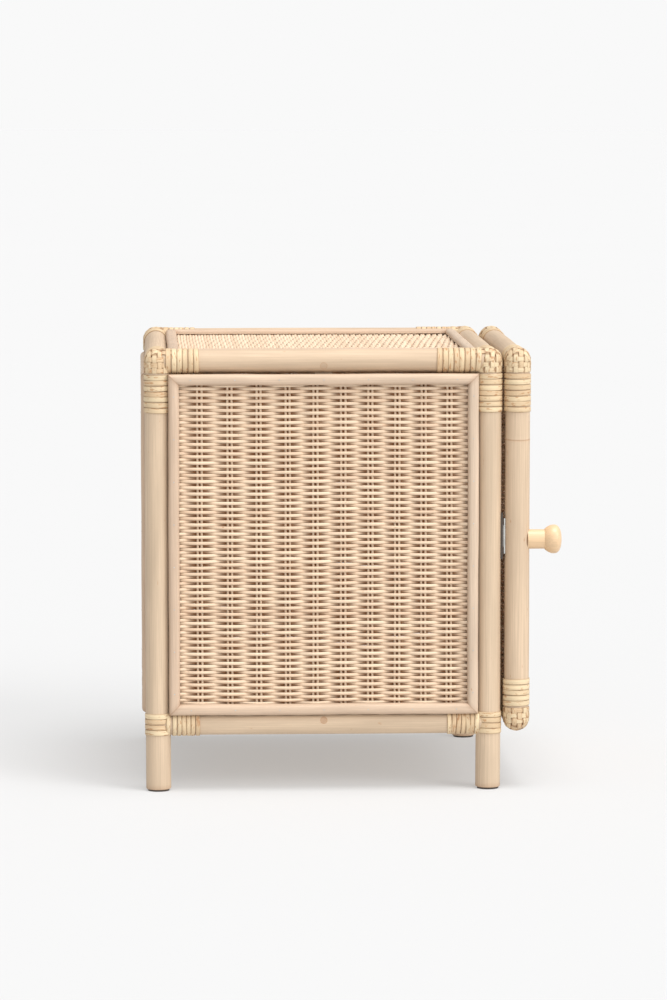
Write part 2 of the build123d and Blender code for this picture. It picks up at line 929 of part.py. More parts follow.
# Catch: a slim case with its magnet on the post, and a steel strike on the stile
with BuildPart() as catch_case:
    with Locations((-half_x, (catch_seat_y + catch_face_y) / 2, catch_z)):
        Box(catch_width, catch_t, catch_height)
    with Locations((-half_x, catch_face_y, catch_z)):
        Box(
            magnet_width + 2 * nail_clearance,
            2 * (magnet_t - magnet_proud + nail_clearance),
            magnet_height + 2 * nail_clearance,
            mode=Mode.SUBTRACT,
        )
    cut_small_holes(CATCH_SCREWS)
save(catch_case.part, "catch_case")

with BuildPart() as catch_magnet:
    with Locations((-half_x, catch_face_y + magnet_t / 2 - magnet_proud, catch_z)):
        Box(magnet_width, magnet_t, magnet_height)
save(catch_magnet.part, "catch_magnet")

small_screws(CATCH_SCREWS, "catch_screws")

with BuildPart() as strike_plate:
    with Locations((-half_x, (strike_seat_y + strike_face_y) / 2, catch_z)):
        Box(catch_width, strike_t, strike_height)
    cut_small_holes(STRIKE_SCREWS)
save(strike_plate.part, "strike_plate")

small_screws(HINGE_DOOR_SCREWS + STRIKE_SCREWS, "door_small_screws")
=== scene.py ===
"""Rattan bedside cabinet with one hinged door: the finish of every piece.

All sizes are metres, +Z is up, the door faces -Y and every place comes from the
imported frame. Each function's docstring gives the formula of the surface it makes.
"""
import math

import bpy
import numpy as np
from bpy.props import FloatProperty, FloatVectorProperty, IntProperty, PointerProperty
from bpy.types import Operator, Panel, PropertyGroup
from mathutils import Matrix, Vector


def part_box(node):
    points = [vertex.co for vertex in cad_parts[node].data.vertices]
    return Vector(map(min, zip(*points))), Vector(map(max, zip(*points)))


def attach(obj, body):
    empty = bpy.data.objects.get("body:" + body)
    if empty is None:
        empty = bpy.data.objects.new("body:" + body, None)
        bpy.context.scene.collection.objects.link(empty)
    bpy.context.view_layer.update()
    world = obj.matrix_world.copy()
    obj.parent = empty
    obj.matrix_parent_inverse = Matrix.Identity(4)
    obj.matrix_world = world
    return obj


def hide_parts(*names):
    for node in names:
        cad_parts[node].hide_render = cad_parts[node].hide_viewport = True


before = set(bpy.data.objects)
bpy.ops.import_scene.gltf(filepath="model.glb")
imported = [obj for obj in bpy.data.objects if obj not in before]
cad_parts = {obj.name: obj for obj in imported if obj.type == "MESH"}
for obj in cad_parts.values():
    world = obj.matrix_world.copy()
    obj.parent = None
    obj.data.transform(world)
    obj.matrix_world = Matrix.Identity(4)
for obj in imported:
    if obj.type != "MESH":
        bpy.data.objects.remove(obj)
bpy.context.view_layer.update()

bl_info = {
    "name": "Rattan Bedside Cabinet",
    "version": (1, 0, 0),
    "blender": (4, 5, 0),
    "location": "3D View > Sidebar > Cabinet",
    "description": "Makes the poles, weave, mouldings and fittings of a rattan cabinet",
    "category": "Add Mesh",
}

MM = 0.001
UP = np.array((0.0, 0.0, 1.0))
X_AXIS = np.array((1.0, 0.0, 0.0))
Y_AXIS = np.array((0.0, 1.0, 0.0))
GRAIN_SPREAD = 5.0  # how far apart the grains of two strands may start

# Seeds of the random draws, each the first of a run
POST_RING_SEED, POST_SEED, STILE_SEED = 40, 60, 80
RAIL_RING_SEED, RAIL_SEED = 100, 120
BODY_PEEL_SEED, DOOR_PEEL_SEED = 300, 500
PANEL_SEED, MOULDING_SEED = 700, 800

# Poles
POLE_SIDES = 40
POST_BOW, STILE_BOW, RAIL_BOW, STRAIGHT_BOW = 0.45 * MM, 0.4 * MM, 0.4 * MM, 0.08 * MM
RING_LEAN = 0.8 * MM
RING_SWELL, RING_SWELL_RUN = 0.22 * MM, 2.2 * MM
RING_GROOVE, RING_GROOVE_RUN = 0.3 * MM, 0.5 * MM
RING_MARK, RING_MARK_RUN = 0.55, 0.8 * MM
STATION_STEP = 6 * MM
RING_NEAR = np.array((-3.0, -1.6, -0.8, -0.4, 0.0, 0.4, 0.8, 1.6, 3.0)) * MM
RING_GAPS = (0.19, 0.27)  # least and greatest distance between node rings
RING_MARGIN = 0.03  # no ring stands nearer than this to a pole's end
STILE_RINGS = {"left": [0.316], "right": [0.12, 0.31]}
LEAF_TALL = 50 * MM
RAIL_NAMES = [f"rail_{level}_{side}" for level in ("top", "bottom")
              for side in ("left", "right", "back", "front")]
STRAIGHT_RAILS = [name for name in RAIL_NAMES if name.endswith(("left", "right"))]

# Peel
PEEL_POINTS, PEEL_FULLNESS, PEEL_CREASE = 9, 4.2, 60.0
PEEL_TURN_STEPS = 64
PEEL_TILT = 0.45 * MM
SLANT_LIFT = 0.3 * MM
PEEL_SHARE = 0.975  # how much of its pitch a turn of peel fills
PEEL_SLANT = 1.6 * MM
FOOT_PITCH, FOOT_WIDTH = 6.3 * MM, 6.1 * MM
FOOT_RAIL_PITCH = 5.2 * MM
KNOT_WIDTH, KNOT_THICK = 5.7 * MM, 0.75 * MM
KNOT_BEAT = 6.2 * MM  # from one crossing to the next
KNOT_RISE, KNOT_SEAT = 0.28 * MM, 0.12 * MM
KNOT_FALL = 12.5 * MM  # how far a strip runs down the pole
KNOT_REACH = 17 * MM  # how far it runs along the rail
KNOT_OFFSETS = np.array((-8.7, -2.9, 2.9, 8.7)) * MM
KNOT_LEVELS = np.array((-9.9, -3.8, 2.4)) * MM
KNOT_TURNS = {1: 128, 2: 102}  # half turn in degrees, by the number of rails

# Weave
STRAND_SIDES, STRAND_CREASE = 8, 50.0
WEAVE_SIDE_TRIM, WEAVE_END_TRIM = 4 * MM, 0.4 * MM  # so that it stays inside its node
PAIRS_MARGIN = 5 * MM
REED_DEEP, REED_TALL = 0.95, 1.13  # the reed's section against its radius
ROW_SWAY, ROW_SWAY_RUN = 0.28 * MM, 0.031
ROW_RIPPLE, ROW_RIPPLE_RUN = 0.18 * MM, 0.017
STAKE_SWAY, STAKE_SWAY_RUN = 0.2 * MM, 0.04
STAKE_DIP, STAKE_DIP_RUN = 0.12 * MM, 0.013

MOULDING_POINTS, MOULDING_FULLNESS, MOULDING_CREASE = 15, 2.9, 40.0
MITRE_MARK_RUN = 0.9 * MM
KNOB_SIDES = 64
KNOB_RIM_SHARE = 0.46  # the part of the head in front of its widest place
FLOOR_HALF = 40.0


# Frame places
def corners(node):
    """A node's lowest and highest corners as arrays."""
    low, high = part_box(node)
    return np.array(low), np.array(high)


def middle(node):
    """The middle of a node's box."""
    low, high = corners(node)
    return (low + high) / 2


POLE_R = float(np.ptp(corners("post_back_left"), axis=0)[0]) / 2
RAIL_R = float(np.ptp(corners("rail_top_left"), axis=0)[0]) / 2
BRACE_R = float(np.ptp(corners("brace_top"), axis=0)[1]) / 2
POST_NAMES = ("front_left", "front_right", "back_left", "back_right")
STILE_NAMES = ("left", "right")
BODY_MIDDLE_Y = float(middle("panel_left")[1])
BODY_TOP_Z = float(corners("rail_top_left")[1][2]) - RAIL_R
BODY_LOW_Z = float(corners("rail_bottom_left")[0][2]) + RAIL_R
DOOR_LOW_Z = float(corners("door_rail_bottom")[0][2]) + RAIL_R
PEEL_T = float(corners("binding_top_back_left")[1][2] - corners("post_back_left")[1][2])
CROWN_Z = float(corners("post_back_left")[1][2]) - POLE_R
DOOR_CROWN_Z = float(corners("door_stile_left")[0][2]) + POLE_R
RAIL_TURNS = POLE_R + PEEL_T + 0.3 * MM  # where the turns on a rail begin
POLE_TURNS = RAIL_R + PEEL_T + 0.2 * MM  # where the turns on a pole begin


# Mesh building
def unit(vectors):
    """Vectors divided by their lengths."""
    return vectors / np.linalg.norm(vectors, axis=-1, keepdims=True)


def sweep(paths, outward, section, ring=False):
    """Carries a section along paths. A point is path + a * N + b * B, where T is the
    path's direction, N is outward made square to T, B is T x N, and the section gives
    each a and b."""
    if ring:
        tangent = np.roll(paths, -1, axis=1) - np.roll(paths, 1, axis=1)
    else:
        tangent = np.gradient(paths, axis=1)
    tangent = unit(tangent)
    outward = np.broadcast_to(outward, paths.shape)
    along = np.sum(outward * tangent, axis=-1, keepdims=True)
    normal = unit(outward - tangent * along)
    across = np.cross(tangent, normal)
    a = section[..., 0][..., None]
    b = section[..., 1][..., None]
    return paths[:, :, None] + normal[:, :, None] * a + across[:, :, None] * b


def path_lengths(paths):
    """How far along its path each station lies."""
    steps = np.linalg.norm(np.diff(paths, axis=1), axis=-1)
    return np.concatenate([np.zeros((len(paths), 1)), np.cumsum(steps, axis=1)], axis=1)


def strand_faces(strands, stations, sides, ring):
    """Quads between neighbouring stations round each strand, and a flat cap at each
    end of an open one, as vertex indices and the first corner of each face."""
    index = np.arange(strands * stations * sides).reshape(strands, stations, sides)
    here = index if ring else index[:, :-1]
    there = np.roll(index, -1, axis=1) if ring else index[:, 1:]
    quads = np.stack(
        [here, np.roll(here, -1, axis=2), np.roll(there, -1, axis=2), there], axis=-1
    ).reshape(-1)
    starts = np.arange(0, len(quads), 4)
    if ring:
        return quads, starts
    caps = np.concatenate([index[:, 0, ::-1], index[:, -1, :]]).reshape(-1)
    cap_starts = len(quads) + np.arange(0, len(caps), sides)
    return np.concatenate([quads, caps]), np.concatenate([starts, cap_starts])


def strand_data(points, grain, tone, mark, ring):
    """One block of strands: its points, faces and what its finish reads."""
    n, m, k, _ = points.shape
    loops, starts = strand_faces(n, m, k, ring)
    return {
        "points": points.reshape(-1, 3),
        "loops": loops,
        "starts": starts,
        "grain": np.broadcast_to(grain, points.shape).reshape(-1, 3),
        "tone": np.broadcast_to(tone, (n, m, k)).reshape(-1),
        "mark": np.broadcast_to(mark, (n, m, k)).reshape(-1),
    }


def laid_grain(rng, first, second, along):
    """Where each point lies in the wood, twice across the fibres and once along them,
    with a start of its own for each strand."""
    grain = np.stack(np.broadcast_arrays(first, second, along), axis=-1)
    return grain + rng.uniform(0, GRAIN_SPREAD, (len(grain), 1, 1, 3))


def build_piece(name, blocks, material, crease=35.0):
    """Joins blocks of strands into one mesh with its finish's attributes."""
    counts = np.cumsum([0] + [len(block["points"]) for block in blocks])
    loop_counts = np.cumsum([0] + [len(block["loops"]) for block in blocks])
    points = np.concatenate([block["points"] for block in blocks])
    loops = np.concatenate([b["loops"] + c for b, c in zip(blocks, counts)])
    starts = np.concatenate([b["starts"] + c for b, c in zip(blocks, loop_counts)])
    mesh = bpy.data.meshes.new(name)
    mesh.vertices.add(len(points))
    mesh.vertices.foreach_set("co", points.astype(np.float32).ravel())
    mesh.loops.add(len(loops))
    mesh.loops.foreach_set("vertex_index", loops.astype(np.int32))
    mesh.polygons.add(len(starts))
    mesh.polygons.foreach_set("loop_start", starts.astype(np.int32))
    mesh.polygons.foreach_set("use_smooth", np.ones(len(starts), bool))
    mesh.update(calc_edges=True)
    mesh.set_sharp_from_angle(angle=math.radians(crease))
    grain = np.concatenate([block["grain"] for block in blocks]).astype(np.float32)
    mesh.attributes.new("grain", "FLOAT_VECTOR", "POINT").data.foreach_set(
        "vector", grain.ravel()
    )
    for key in ("tone", "mark"):
        values = np.concatenate([block[key] for block in blocks]).astype(np.float32)
        mesh.attributes.new(key, "FLOAT", "POINT").data.foreach_set("value", values)
    mesh.materials.append(material)
    piece = bpy.data.objects.new(name, mesh)
    bpy.context.scene.collection.objects.link(piece)
    return piece


def place_piece(piece, body, slot, *nodes):
    """Puts a piece on its body and hides the nodes that it stands for. Its slot is not used.
    """
    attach(piece, body)
    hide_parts(*nodes)
    return piece


# Finishes
def feed(tree, socket, value):
    """Links another node's output to a socket, or sets a value on it."""
    if isinstance(value, bpy.types.NodeSocket):
        tree.links.new(value, socket)
    else:
        socket.default_value = value


def add_node(tree, kind, settings=(), **inputs):
    """Adds a shader node. Each input is a value or another node's output."""
    made = tree.nodes.new(kind)
    for key, value in dict(settings).items():
        setattr(made, key, value)
    for key, value in inputs.items():
        feed(tree, made.inputs[key.replace("_", " ")], value)
    return made


def mix_colours(tree, share, first, second):
    """Blends two colours by a share from 0 to 1."""
    made = tree.nodes.new("ShaderNodeMix")
    made.data_type = "RGBA"
    for index, value in ((0, share), (6, first), (7, second)):
        feed(tree, made.inputs[index], value)
    return made.outputs[2]


def ranged(tree, value, low, high, to_low=0.0, to_high=1.0):
    """A value spread from one range to another and held within it."""
    made = add_node(tree, "ShaderNodeMapRange", Value=value, From_Min=low, From_Max=high,
                    To_Min=to_low, To_Max=to_high)
    return made.outputs["Result"]


def times(tree, first, second):
    """The product of two values."""
    made = tree.nodes.new("ShaderNodeMath")
    made.operation = "MULTIPLY"
    feed(tree, made.inputs[0], first)
    feed(tree, made.inputs[1], second)
    return made.outputs[0]


def stretched_noise(tree, vector, across, along, detail=4.0, rough=0.6, offset=0.0):
    """Noise drawn out along the grain: so many grains per metre across and along."""
    mapped = add_node(tree, "ShaderNodeMapping", Vector=vector,
                      Scale=(across, across, along), Location=(offset, offset, offset))
    made = add_node(tree, "ShaderNodeTexNoise", Vector=mapped.outputs[0], Scale=1.0,
                    Detail=detail, Roughness=rough)
    return made.outputs["Fac"]


def shade(colour, factor):
    """A colour made lighter or darker, with full alpha."""
    return (*[min(1.0, channel * factor) for channel in colour[:3]], 1.0)


def new_finish(name):
    """An empty node material with its tree and main shader."""
    material = bpy.data.materials.new(name)
    material.use_nodes = True
    tree = material.node_tree
    return material, tree, tree.nodes["Principled BSDF"]


def object_place(tree):
    """Where a point lies on its piece."""
    return add_node(tree, "ShaderNodeTexCoord").outputs["Object"]


def clouded(tree, place, scale, rough, offset, low, colour, darkest):
    """A colour with soft darker clouds."""
    clouds = stretched_noise(tree, place, scale, scale, 2.0, rough, offset)
    return mix_colours(tree, ranged(tree, clouds, low, 0.7), shade(colour, 1.0),
                       shade(colour, darkest))


def join_surface(tree, shader, colour, roughness, height, strength, distance):
    """Joins a finish's colour, roughness and relief to its shader."""
    bump = add_node(tree, "ShaderNodeBump", Height=height, Strength=strength,
                    Distance=distance)
    tree.links.new(colour, shader.inputs["Base Color"])
    tree.links.new(roughness, shader.inputs["Roughness"])
    tree.links.new(bump.outputs[0], shader.inputs["Normal"])


def cane_finish(name, pale, deep, brown, look):
    """Rattan or wood whose fibres follow the piece: fine streaks and broad mottling
    between two tones, a tone of its own for each strand, brown for its real marks and
    its painted shade, brown flecks, and fibres in relief."""
    material, tree, shader = new_finish(name)
    grain = add_node(tree, "ShaderNodeAttribute", {"attribute_name": "grain"})
    tone = add_node(tree, "ShaderNodeAttribute", {"attribute_name": "tone"})
    mark = add_node(tree, "ShaderNodeAttribute", {"attribute_name": "mark"})
    place = grain.outputs["Vector"]
    streaks = stretched_noise(tree, place, look["streaks"], look["streaks"] / 60)
    mottle = stretched_noise(tree, place, look["mottle"], look["mottle"] / 5, 3.0, 0.5, 7.3)
    flecks = stretched_noise(tree, place, look["flecks"], look["flecks"] / 4, 2.0, 0.5, 3.1)
    colour = mix_colours(tree, ranged(tree, streaks, 0.34, 0.68), pale, deep)
    warm = ranged(tree, mottle, 0.36, 0.66, 0.0, look["mottle_share"])
    colour = mix_colours(tree, warm, colour, shade(deep, 0.92))
    strand_tone = ranged(tree, tone.outputs["Fac"], 0.0, 1.0, 0.0, look["tone_share"])
    colour = mix_colours(tree, strand_tone, colour, brown)
    spots = ranged(tree, flecks, look["fleck_cut"], look["fleck_cut"] + 0.05, 0.0, 0.6)
    colour = mix_colours(tree, spots, colour, brown)
    # This attribute holds real marks and painted shade alike; both turn the colour towards a
    # darker brown.
    mark_and_shade_mix = times(tree, mark.outputs["Fac"], look["mark_and_shade_share"])
    colour = mix_colours(tree, mark_and_shade_mix, colour, shade(brown, look["mark_and_shade_darkness"]))
    roughness = ranged(tree, streaks, 0.3, 0.7, look["rough"] - 0.08, look["rough"] + 0.08)
    shader.inputs["Specular IOR Level"].default_value = look["specular"]
    join_surface(tree, shader, colour, roughness, streaks, look["bump"], 0.25 * MM)
    return material


def board_finish(name, colours):
    """Clear-finished plywood: long face grain along Y, darker veneer lines through
    its thickness, and a soft satin surface."""
    material, tree, shader = new_finish(name)
    place = object_place(tree)
    mapped = add_node(tree, "ShaderNodeMapping", Vector=place, Scale=(90.0, 4.0, 60.0))
    figure = add_node(tree, "ShaderNodeTexNoise", Vector=mapped.outputs[0], Scale=1.0,
                      Detail=5.0, Roughness=0.62, Distortion=0.6).outputs["Fac"]
    pores = stretched_noise(tree, place, 700.0, 700.0, 2.0)
    pale, deep, glue = (shade(colours.board, factor) for factor in (1.0, 0.72, 0.5))
    colour = mix_colours(tree, ranged(tree, figure, 0.32, 0.7), pale, deep)
    layers = add_node(tree, "ShaderNodeTexWave",
                      {"bands_direction": "Z", "wave_profile": "SIN"}, Vector=place,
                      Scale=105.0, Distortion=0.4).outputs["Fac"]
    colour = mix_colours(tree, ranged(tree, layers, 0.55, 1.0, 0.0, 0.35), colour, glue)
    roughness = ranged(tree, pores, 0.3, 0.7, 0.42, 0.58)
    join_surface(tree, shader, colour, roughness, figure, 0.2, 0.2 * MM)
    return material


def metal_finish(name, colour, rough, brushed):
    """Plated steel: fine drawn lines in its roughness and relief, and faint clouding."""
    material, tree, shader = new_finish(name)
    place = object_place(tree)
    lines = stretched_noise(tree, place, brushed, brushed / 20, 3.0)
    tint = clouded(tree, place, 120.0, 0.5, 2.0, 0.35, colour, 0.82)
    shader.inputs["Metallic"].default_value = 1.0
    roughness = ranged(tree, lines, 0.3, 0.7, rough - 0.08, rough + 0.1)
    join_surface(tree, shader, tint, roughness, lines, 0.15, 0.05 * MM)
    return material


def plastic_finish(name, colour):
    """Moulded dark plastic with a fine spark-eroded grain."""
    material, tree, shader = new_finish(name)
    place = object_place(tree)
    pits = stretched_noise(tree, place, 2600.0, 2600.0, 2.0)
    tint = clouded(tree, place, 90.0, 0.5, 5.0, 0.3, colour, 0.75)
    roughness = ranged(tree, pits, 0.3, 0.7, 0.45, 0.65)
    join_surface(tree, shader, tint, roughness, pits, 0.3, 0.05 * MM)
    return material


def floor_finish(colour, glow):
    """Matt pale floor, lit a little from below as a light table is, with the faintest
    unevenness of tone."""
    material, tree, shader = new_finish("studio_floor")
    place = object_place(tree)
    tint = clouded(tree, place, 1.5, 0.6, 0.0, 0.3, colour, 0.995)
    tree.links.new(tint, shader.inputs["Base Color"])
    shader.inputs["Roughness"].default_value = 0.9
    shader.inputs["Specular IOR Level"].default_value = 0.0
    shader.inputs["Emission Color"].default_value = (1.0, 1.0, 1.0, 1.0)
    shader.inputs["Emission Strength"].default_value = glow
    return material


# How each cane finish looks. The first three are patterns per metre, and the rest
# shares, but for the fleck cut, above which the noise is a fleck.
LOOK_KEYS = ("streaks", "mottle", "flecks", "mottle_share", "tone_share", "fleck_cut",
             "mark_and_shade_share", "mark_and_shade_darkness", "rough", "specular", "bump")
LOOKS = {
    "pole": (620.0, 46.0, 240.0, 0.55, 0.12, 0.735, 0.75, 0.8, 0.58, 0.35, 0.35),
    "peel": (1500.0, 130.0, 520.0, 0.6, 0.3, 0.6, 0.95, 0.5, 0.55, 0.3, 0.35),
    "reed": (2200.0, 160.0, 700.0, 0.5, 0.2, 0.7, 1.0, 0.8, 0.6, 0.3, 0.35),
    "moulding": (1200.0, 60.0, 500.0, 0.45, 0.15, 0.74, 0.8, 0.6, 0.56, 0.35, 0.25),
    "plug_wood": (1500.0, 200.0, 900.0, 0.6, 0.75, 0.7, 0.5, 1.0, 0.62, 0.3, 0.3),
    "turned_wood": (800.0, 90.0, 600.0, 0.4, 0.1, 0.75, 0.5, 0.7, 0.4, 0.5, 0.12),
}


def finish_named(name):
    """The finish with this name, made when first asked for. Its material's name starts
    with finish_, because the frame's own plain materials are named after their slots."""
    full_name = f"finish_{name}"
    if full_name in bpy.data.materials:
        return bpy.data.materials[full_name]
    colours = bpy.context.scene.cane_colours
    if name in LOOKS:
        woods = {"plug_wood": shade(colours.pole, 0.94), "turned_wood": colours.knob}
        colour = woods[name] if name in woods else getattr(colours, name)
        look = dict(zip(LOOK_KEYS, LOOKS[name]))
        pale, deep = shade(colour, 1.0), shade(colour, 0.8)
        return cane_finish(full_name, pale, deep, shade(colours.brown, 1.0), look)
    if name == "plywood":
        return board_finish(full_name, colours)
    if name == "dark_plastic":
        return plastic_finish(full_name, colours.plastic)
    if name == "bright_steel":
        return metal_finish(full_name, colours.steel, 0.24, 1800.0)
    return metal_finish(full_name, shade(colours.steel, 0.86), 0.36, 2400.0)


# Sections
def round_section(sides):
    """A circle of radius 1, counted from N towards B."""
    angle = np.linspace(0, 2 * np.pi, sides, endpoint=False)
    return np.stack([np.cos(angle), np.sin(angle)], axis=-1)


def crowned_section(width, thick, points, fullness):
    """A flat back and a crowned front: the front's height over b is
    thick * (1 - |2b / width| ** fullness) ** (1 / fullness)."""
    angle = np.linspace(-np.pi / 2, np.pi / 2, points)
    b = np.sin(angle)
    a = (1 - np.abs(b) ** fullness) ** (1 / fullness)
    return np.stack([thick * a, width / 2 * b], axis=-1)


# Poles
def pole_stations(length, rings, seats, rounded):
    """Places along a pole: at even steps, and close together at its node rings, at
    the edges of its seats and round its rounded ends."""
    places = [np.linspace(0, length, int(length / STATION_STEP) + 2)]
    places += [ring + RING_NEAR for ring in rings]
    places += [np.array((low - 0.02 * MM, low, high, high + 0.02 * MM))
               for low, high, *_ in seats]
    curve = rounded * (1 - np.cos(np.linspace(0, np.pi / 2, 5)))
    places += [curve, length - curve]
    return np.unique(np.clip(np.concatenate(places), 0, length))


def pole_block(start, end, radius, seed, bow=0.5 * MM, rings=(), seats=(), rounded=0.0,
               end_shade=(0.0, 0.0)):
    """A natural pole. Its middle line is straight plus two slow sine waves that are
    nought at both ends; its radius is the given one, a little out of round, swollen by
    a narrow bell at each node ring with a fine groove cut in its crest. A seat is
    (low, high, y, keep): between two places along the pole, points past the plane at
    that y are held back to it."""
    rng = np.random.default_rng(seed)
    run = end - start
    length = float(np.linalg.norm(run))
    along = run / length
    side = unit(np.cross(along, X_AXIS if abs(along[0]) < 0.5 else Y_AXIS))
    other = np.cross(along, side)
    s = pole_stations(length, rings, seats, rounded)
    t = s / length
    waves = [
        bow * (rng.uniform(0.5, 1) * np.sin(np.pi * t) * rng.choice((-1, 1))
               + 0.4 * rng.uniform(-1, 1) * np.sin(3 * np.pi * t))
        for _ in range(2)
    ]
    path = (start + s[:, None] * along + waves[0][:, None] * side
            + waves[1][:, None] * other)[None]
    angle = np.linspace(0, 2 * np.pi, POLE_SIDES, endpoint=False)
    twist = rng.uniform(0, 2 * np.pi, 3)
    shape = 1 + 0.006 * np.cos(2 * angle + twist[0]) + 0.003 * np.cos(3 * angle + twist[1])
    flow = 1 + 0.006 * np.sin(2 * np.pi * (1.3 * t + twist[2]))
    reach = radius * shape[None, :] * flow[:, None]
    mark = np.zeros((len(s), POLE_SIDES))
    for place in rings:
        lean = place + RING_LEAN * np.cos(angle + twist[0])[None, :]
        gap = s[:, None] - lean
        reach += RING_SWELL * np.exp(-((gap / RING_SWELL_RUN) ** 2))
        reach -= RING_GROOVE * np.exp(-((gap / RING_GROOVE_RUN) ** 2))
        mark += RING_MARK * np.exp(-((gap / RING_MARK_RUN) ** 2))
    # Painted shade at a pole's ends, darker within a few millimetres of an end: the posts get
    # it at their feet, for the shadow where they stand on the glides.
    for place, strength in zip((0.0, length), end_shade):
        mark += strength * np.exp(-np.abs(s - place) / (2.5 * MM))[:, None]
    if rounded:
        rim = np.minimum(np.minimum(s, length - s), rounded) / rounded
        reach -= (rounded * (1 - np.sqrt(1 - (1 - rim) ** 2)))[:, None]
    ring = round_section(POLE_SIDES)
    section = reach[None, :, :, None] * ring[None, None]
    points = sweep(path, side, section)
    for low, high, y, keep in seats:
        flat = (s >= low) & (s <= high)
        hold = np.maximum if keep > 0 else np.minimum
        points[0, flat, :, 1] = hold(points[0, flat, :, 1], y)
    grain = laid_grain(rng, section[..., 0], section[..., 1], s[:, None])
    return strand_data(points, grain, rng.uniform(0, 1), np.clip(mark, 0, 1), False)


def node_rings(rng, length, first):
    """Node rings along a pole, from the first one on, about a hand apart."""
    rings = [first]
    while rings[-1] + RING_GAPS[0] < length - RING_MARGIN:
        rings.append(rings[-1] + rng.uniform(*RING_GAPS))
    return [ring for ring in rings if ring < length - RING_MARGIN]


def make_posts(material, spans):
    """The body's four posts, seated behind the hinge leaves and the catch."""
    leaf_y = corners("hinge_post_leaves")[1][1]
    catch_low, catch_high = corners("catch_case")
    glide_top = float(corners("foot_glides")[1][2])
    for number, name in enumerate(POST_NAMES):
        node = f"post_{name}"
        centre = middle(node)
        start = np.array((centre[0], centre[1], glide_top))
        end = np.array((centre[0], centre[1], CROWN_Z))
        seats, rings = [], []
        if name == "front_right":
            seats = [(a - glide_top, b - glide_top, leaf_y, 1) for a, b in spans]
        if name == "front_left":
            spot = (catch_low[2] - glide_top, catch_high[2] - glide_top)
            seats = [(*spot, catch_high[1], 1)]
        if name.endswith("right"):
            rng = np.random.default_rng(POST_RING_SEED + number)
            rings = node_rings(rng, CROWN_Z - 0.09, 0.16 + 0.05 * number)
        block = pole_block(start, end, POLE_R, POST_SEED + number, POST_BOW, rings, seats,
                           1.2 * MM, (0.5, 0.0))
        place_piece(build_piece(f"pole_{node}", [block], material), "cabinet", "pole", node)


def make_stiles(material, spans):
    """The door's two stiles, seated behind the hinge leaves and the strike."""
    leaf_y = corners("hinge_door_leaves")[0][1]
    strike_low, strike_high = corners("strike_plate")
    for number, name in enumerate(STILE_NAMES):
        node = f"door_stile_{name}"
        centre = middle(node)
        start = np.array((centre[0], centre[1], DOOR_CROWN_Z))
        end = np.array((centre[0], centre[1], CROWN_Z))
        seats = [(strike_low[2] - start[2], strike_high[2] - start[2], strike_low[1], -1)]
        if name == "right":
            seats = [(a - start[2], b - start[2], leaf_y, -1) for a, b in spans]
        block = pole_block(start, end, POLE_R, STILE_SEED + number, STILE_BOW,
                           STILE_RINGS[name], seats)
        place_piece(build_piece(f"pole_{node}", [block], material), "door", "pole", node)


def make_rails(material):
    """The rails of the body and the door, and the braces. A rail beside a moulding is
    straighter and has no node rings, so that it clears the moulding."""
    rails = [(name, "cabinet") for name in RAIL_NAMES]
    rails += [("door_rail_top", "door"), ("door_rail_bottom", "door")]
    rails += [("brace_top", "cabinet"), ("brace_bottom", "cabinet")]
    for number, (node, body) in enumerate(rails):
        low, high = corners(node)
        axis = int(np.argmax(high - low))
        start, end = middle(node), middle(node)
        start[axis], end[axis] = low[axis], high[axis]
        radius, bow, rings = RAIL_R - 0.03 * MM, STRAIGHT_BOW, []
        if node not in STRAIGHT_RAILS:
            rng = np.random.default_rng(RAIL_RING_SEED + number)
            rings = node_rings(rng, end[axis] - start[axis], rng.uniform(0.08, 0.2))
            radius, bow = BRACE_R if node.startswith("brace") else RAIL_R, RAIL_BOW
        block = pole_block(start, end, radius, RAIL_SEED + number, bow, rings)
        place_piece(build_piece(f"pole_{node}", [block], material), body, "pole", node)


def make_poles():
    """Every pole of the frame and the door, and the two braces. The hinge leaves'
    heights along the poles are where the posts and stiles get their flat seats."""
    material = finish_named("pole")
    low, high = corners("hinge_post_leaves")
    pins_low, pins_high = corners("hinge_pins")
    pins_tall = float(pins_high[2] - pins_low[2])
    seat_tall = (pins_tall - float(high[2] - low[2])) / 2 + LEAF_TALL
    spans = [(low[2], low[2] + seat_tall), (high[2] - seat_tall, high[2])]
    make_posts(material, spans)
    make_stiles(material, spans)
    make_rails(material)


# Peel bindings
def peel_block(paths, outward, width, thick, seed, ring, sunk_shade=0.0):
    """Strips of peel along paths, each with a crowned face, a tone of its own, painted
    shade towards its edges, where it meets its neighbours, and painted shade where it is
    sunk. The grain runs along the strip."""
    rng = np.random.default_rng(seed)
    count, stations, _ = paths.shape
    base = crowned_section(1.0, 1.0, PEEL_POINTS, PEEL_FULLNESS)
    widths = width * rng.uniform(0.98, 1.03, count)
    section = np.empty((count, stations, len(base), 2))
    section[..., 0] = base[:, 0] * thick
    section[..., 1] = base[:, 1] * widths[:, None, None]
    points = sweep(paths, outward, section, ring)
    along = path_lengths(paths)[..., None]
    grain = laid_grain(rng, section[..., 1], section[..., 0], along)
    # Painted shade: darker towards each strip's edges, for the shade in the joins between
    # neighbouring strips.
    edge = 0.75 * np.abs(base[:, 1] * 2) ** 7
    # Painted shade where a knot strip is sunk under the strips that cross it.
    sunk_shade = np.broadcast_to(sunk_shade, (count, stations))[..., None]
    mark = np.clip(edge + sunk_shade, 0, 1)
    tone = rng.uniform(0, 1, (count, 1, 1)) ** 1.6
    return strand_data(points, grain, tone, mark, ring)


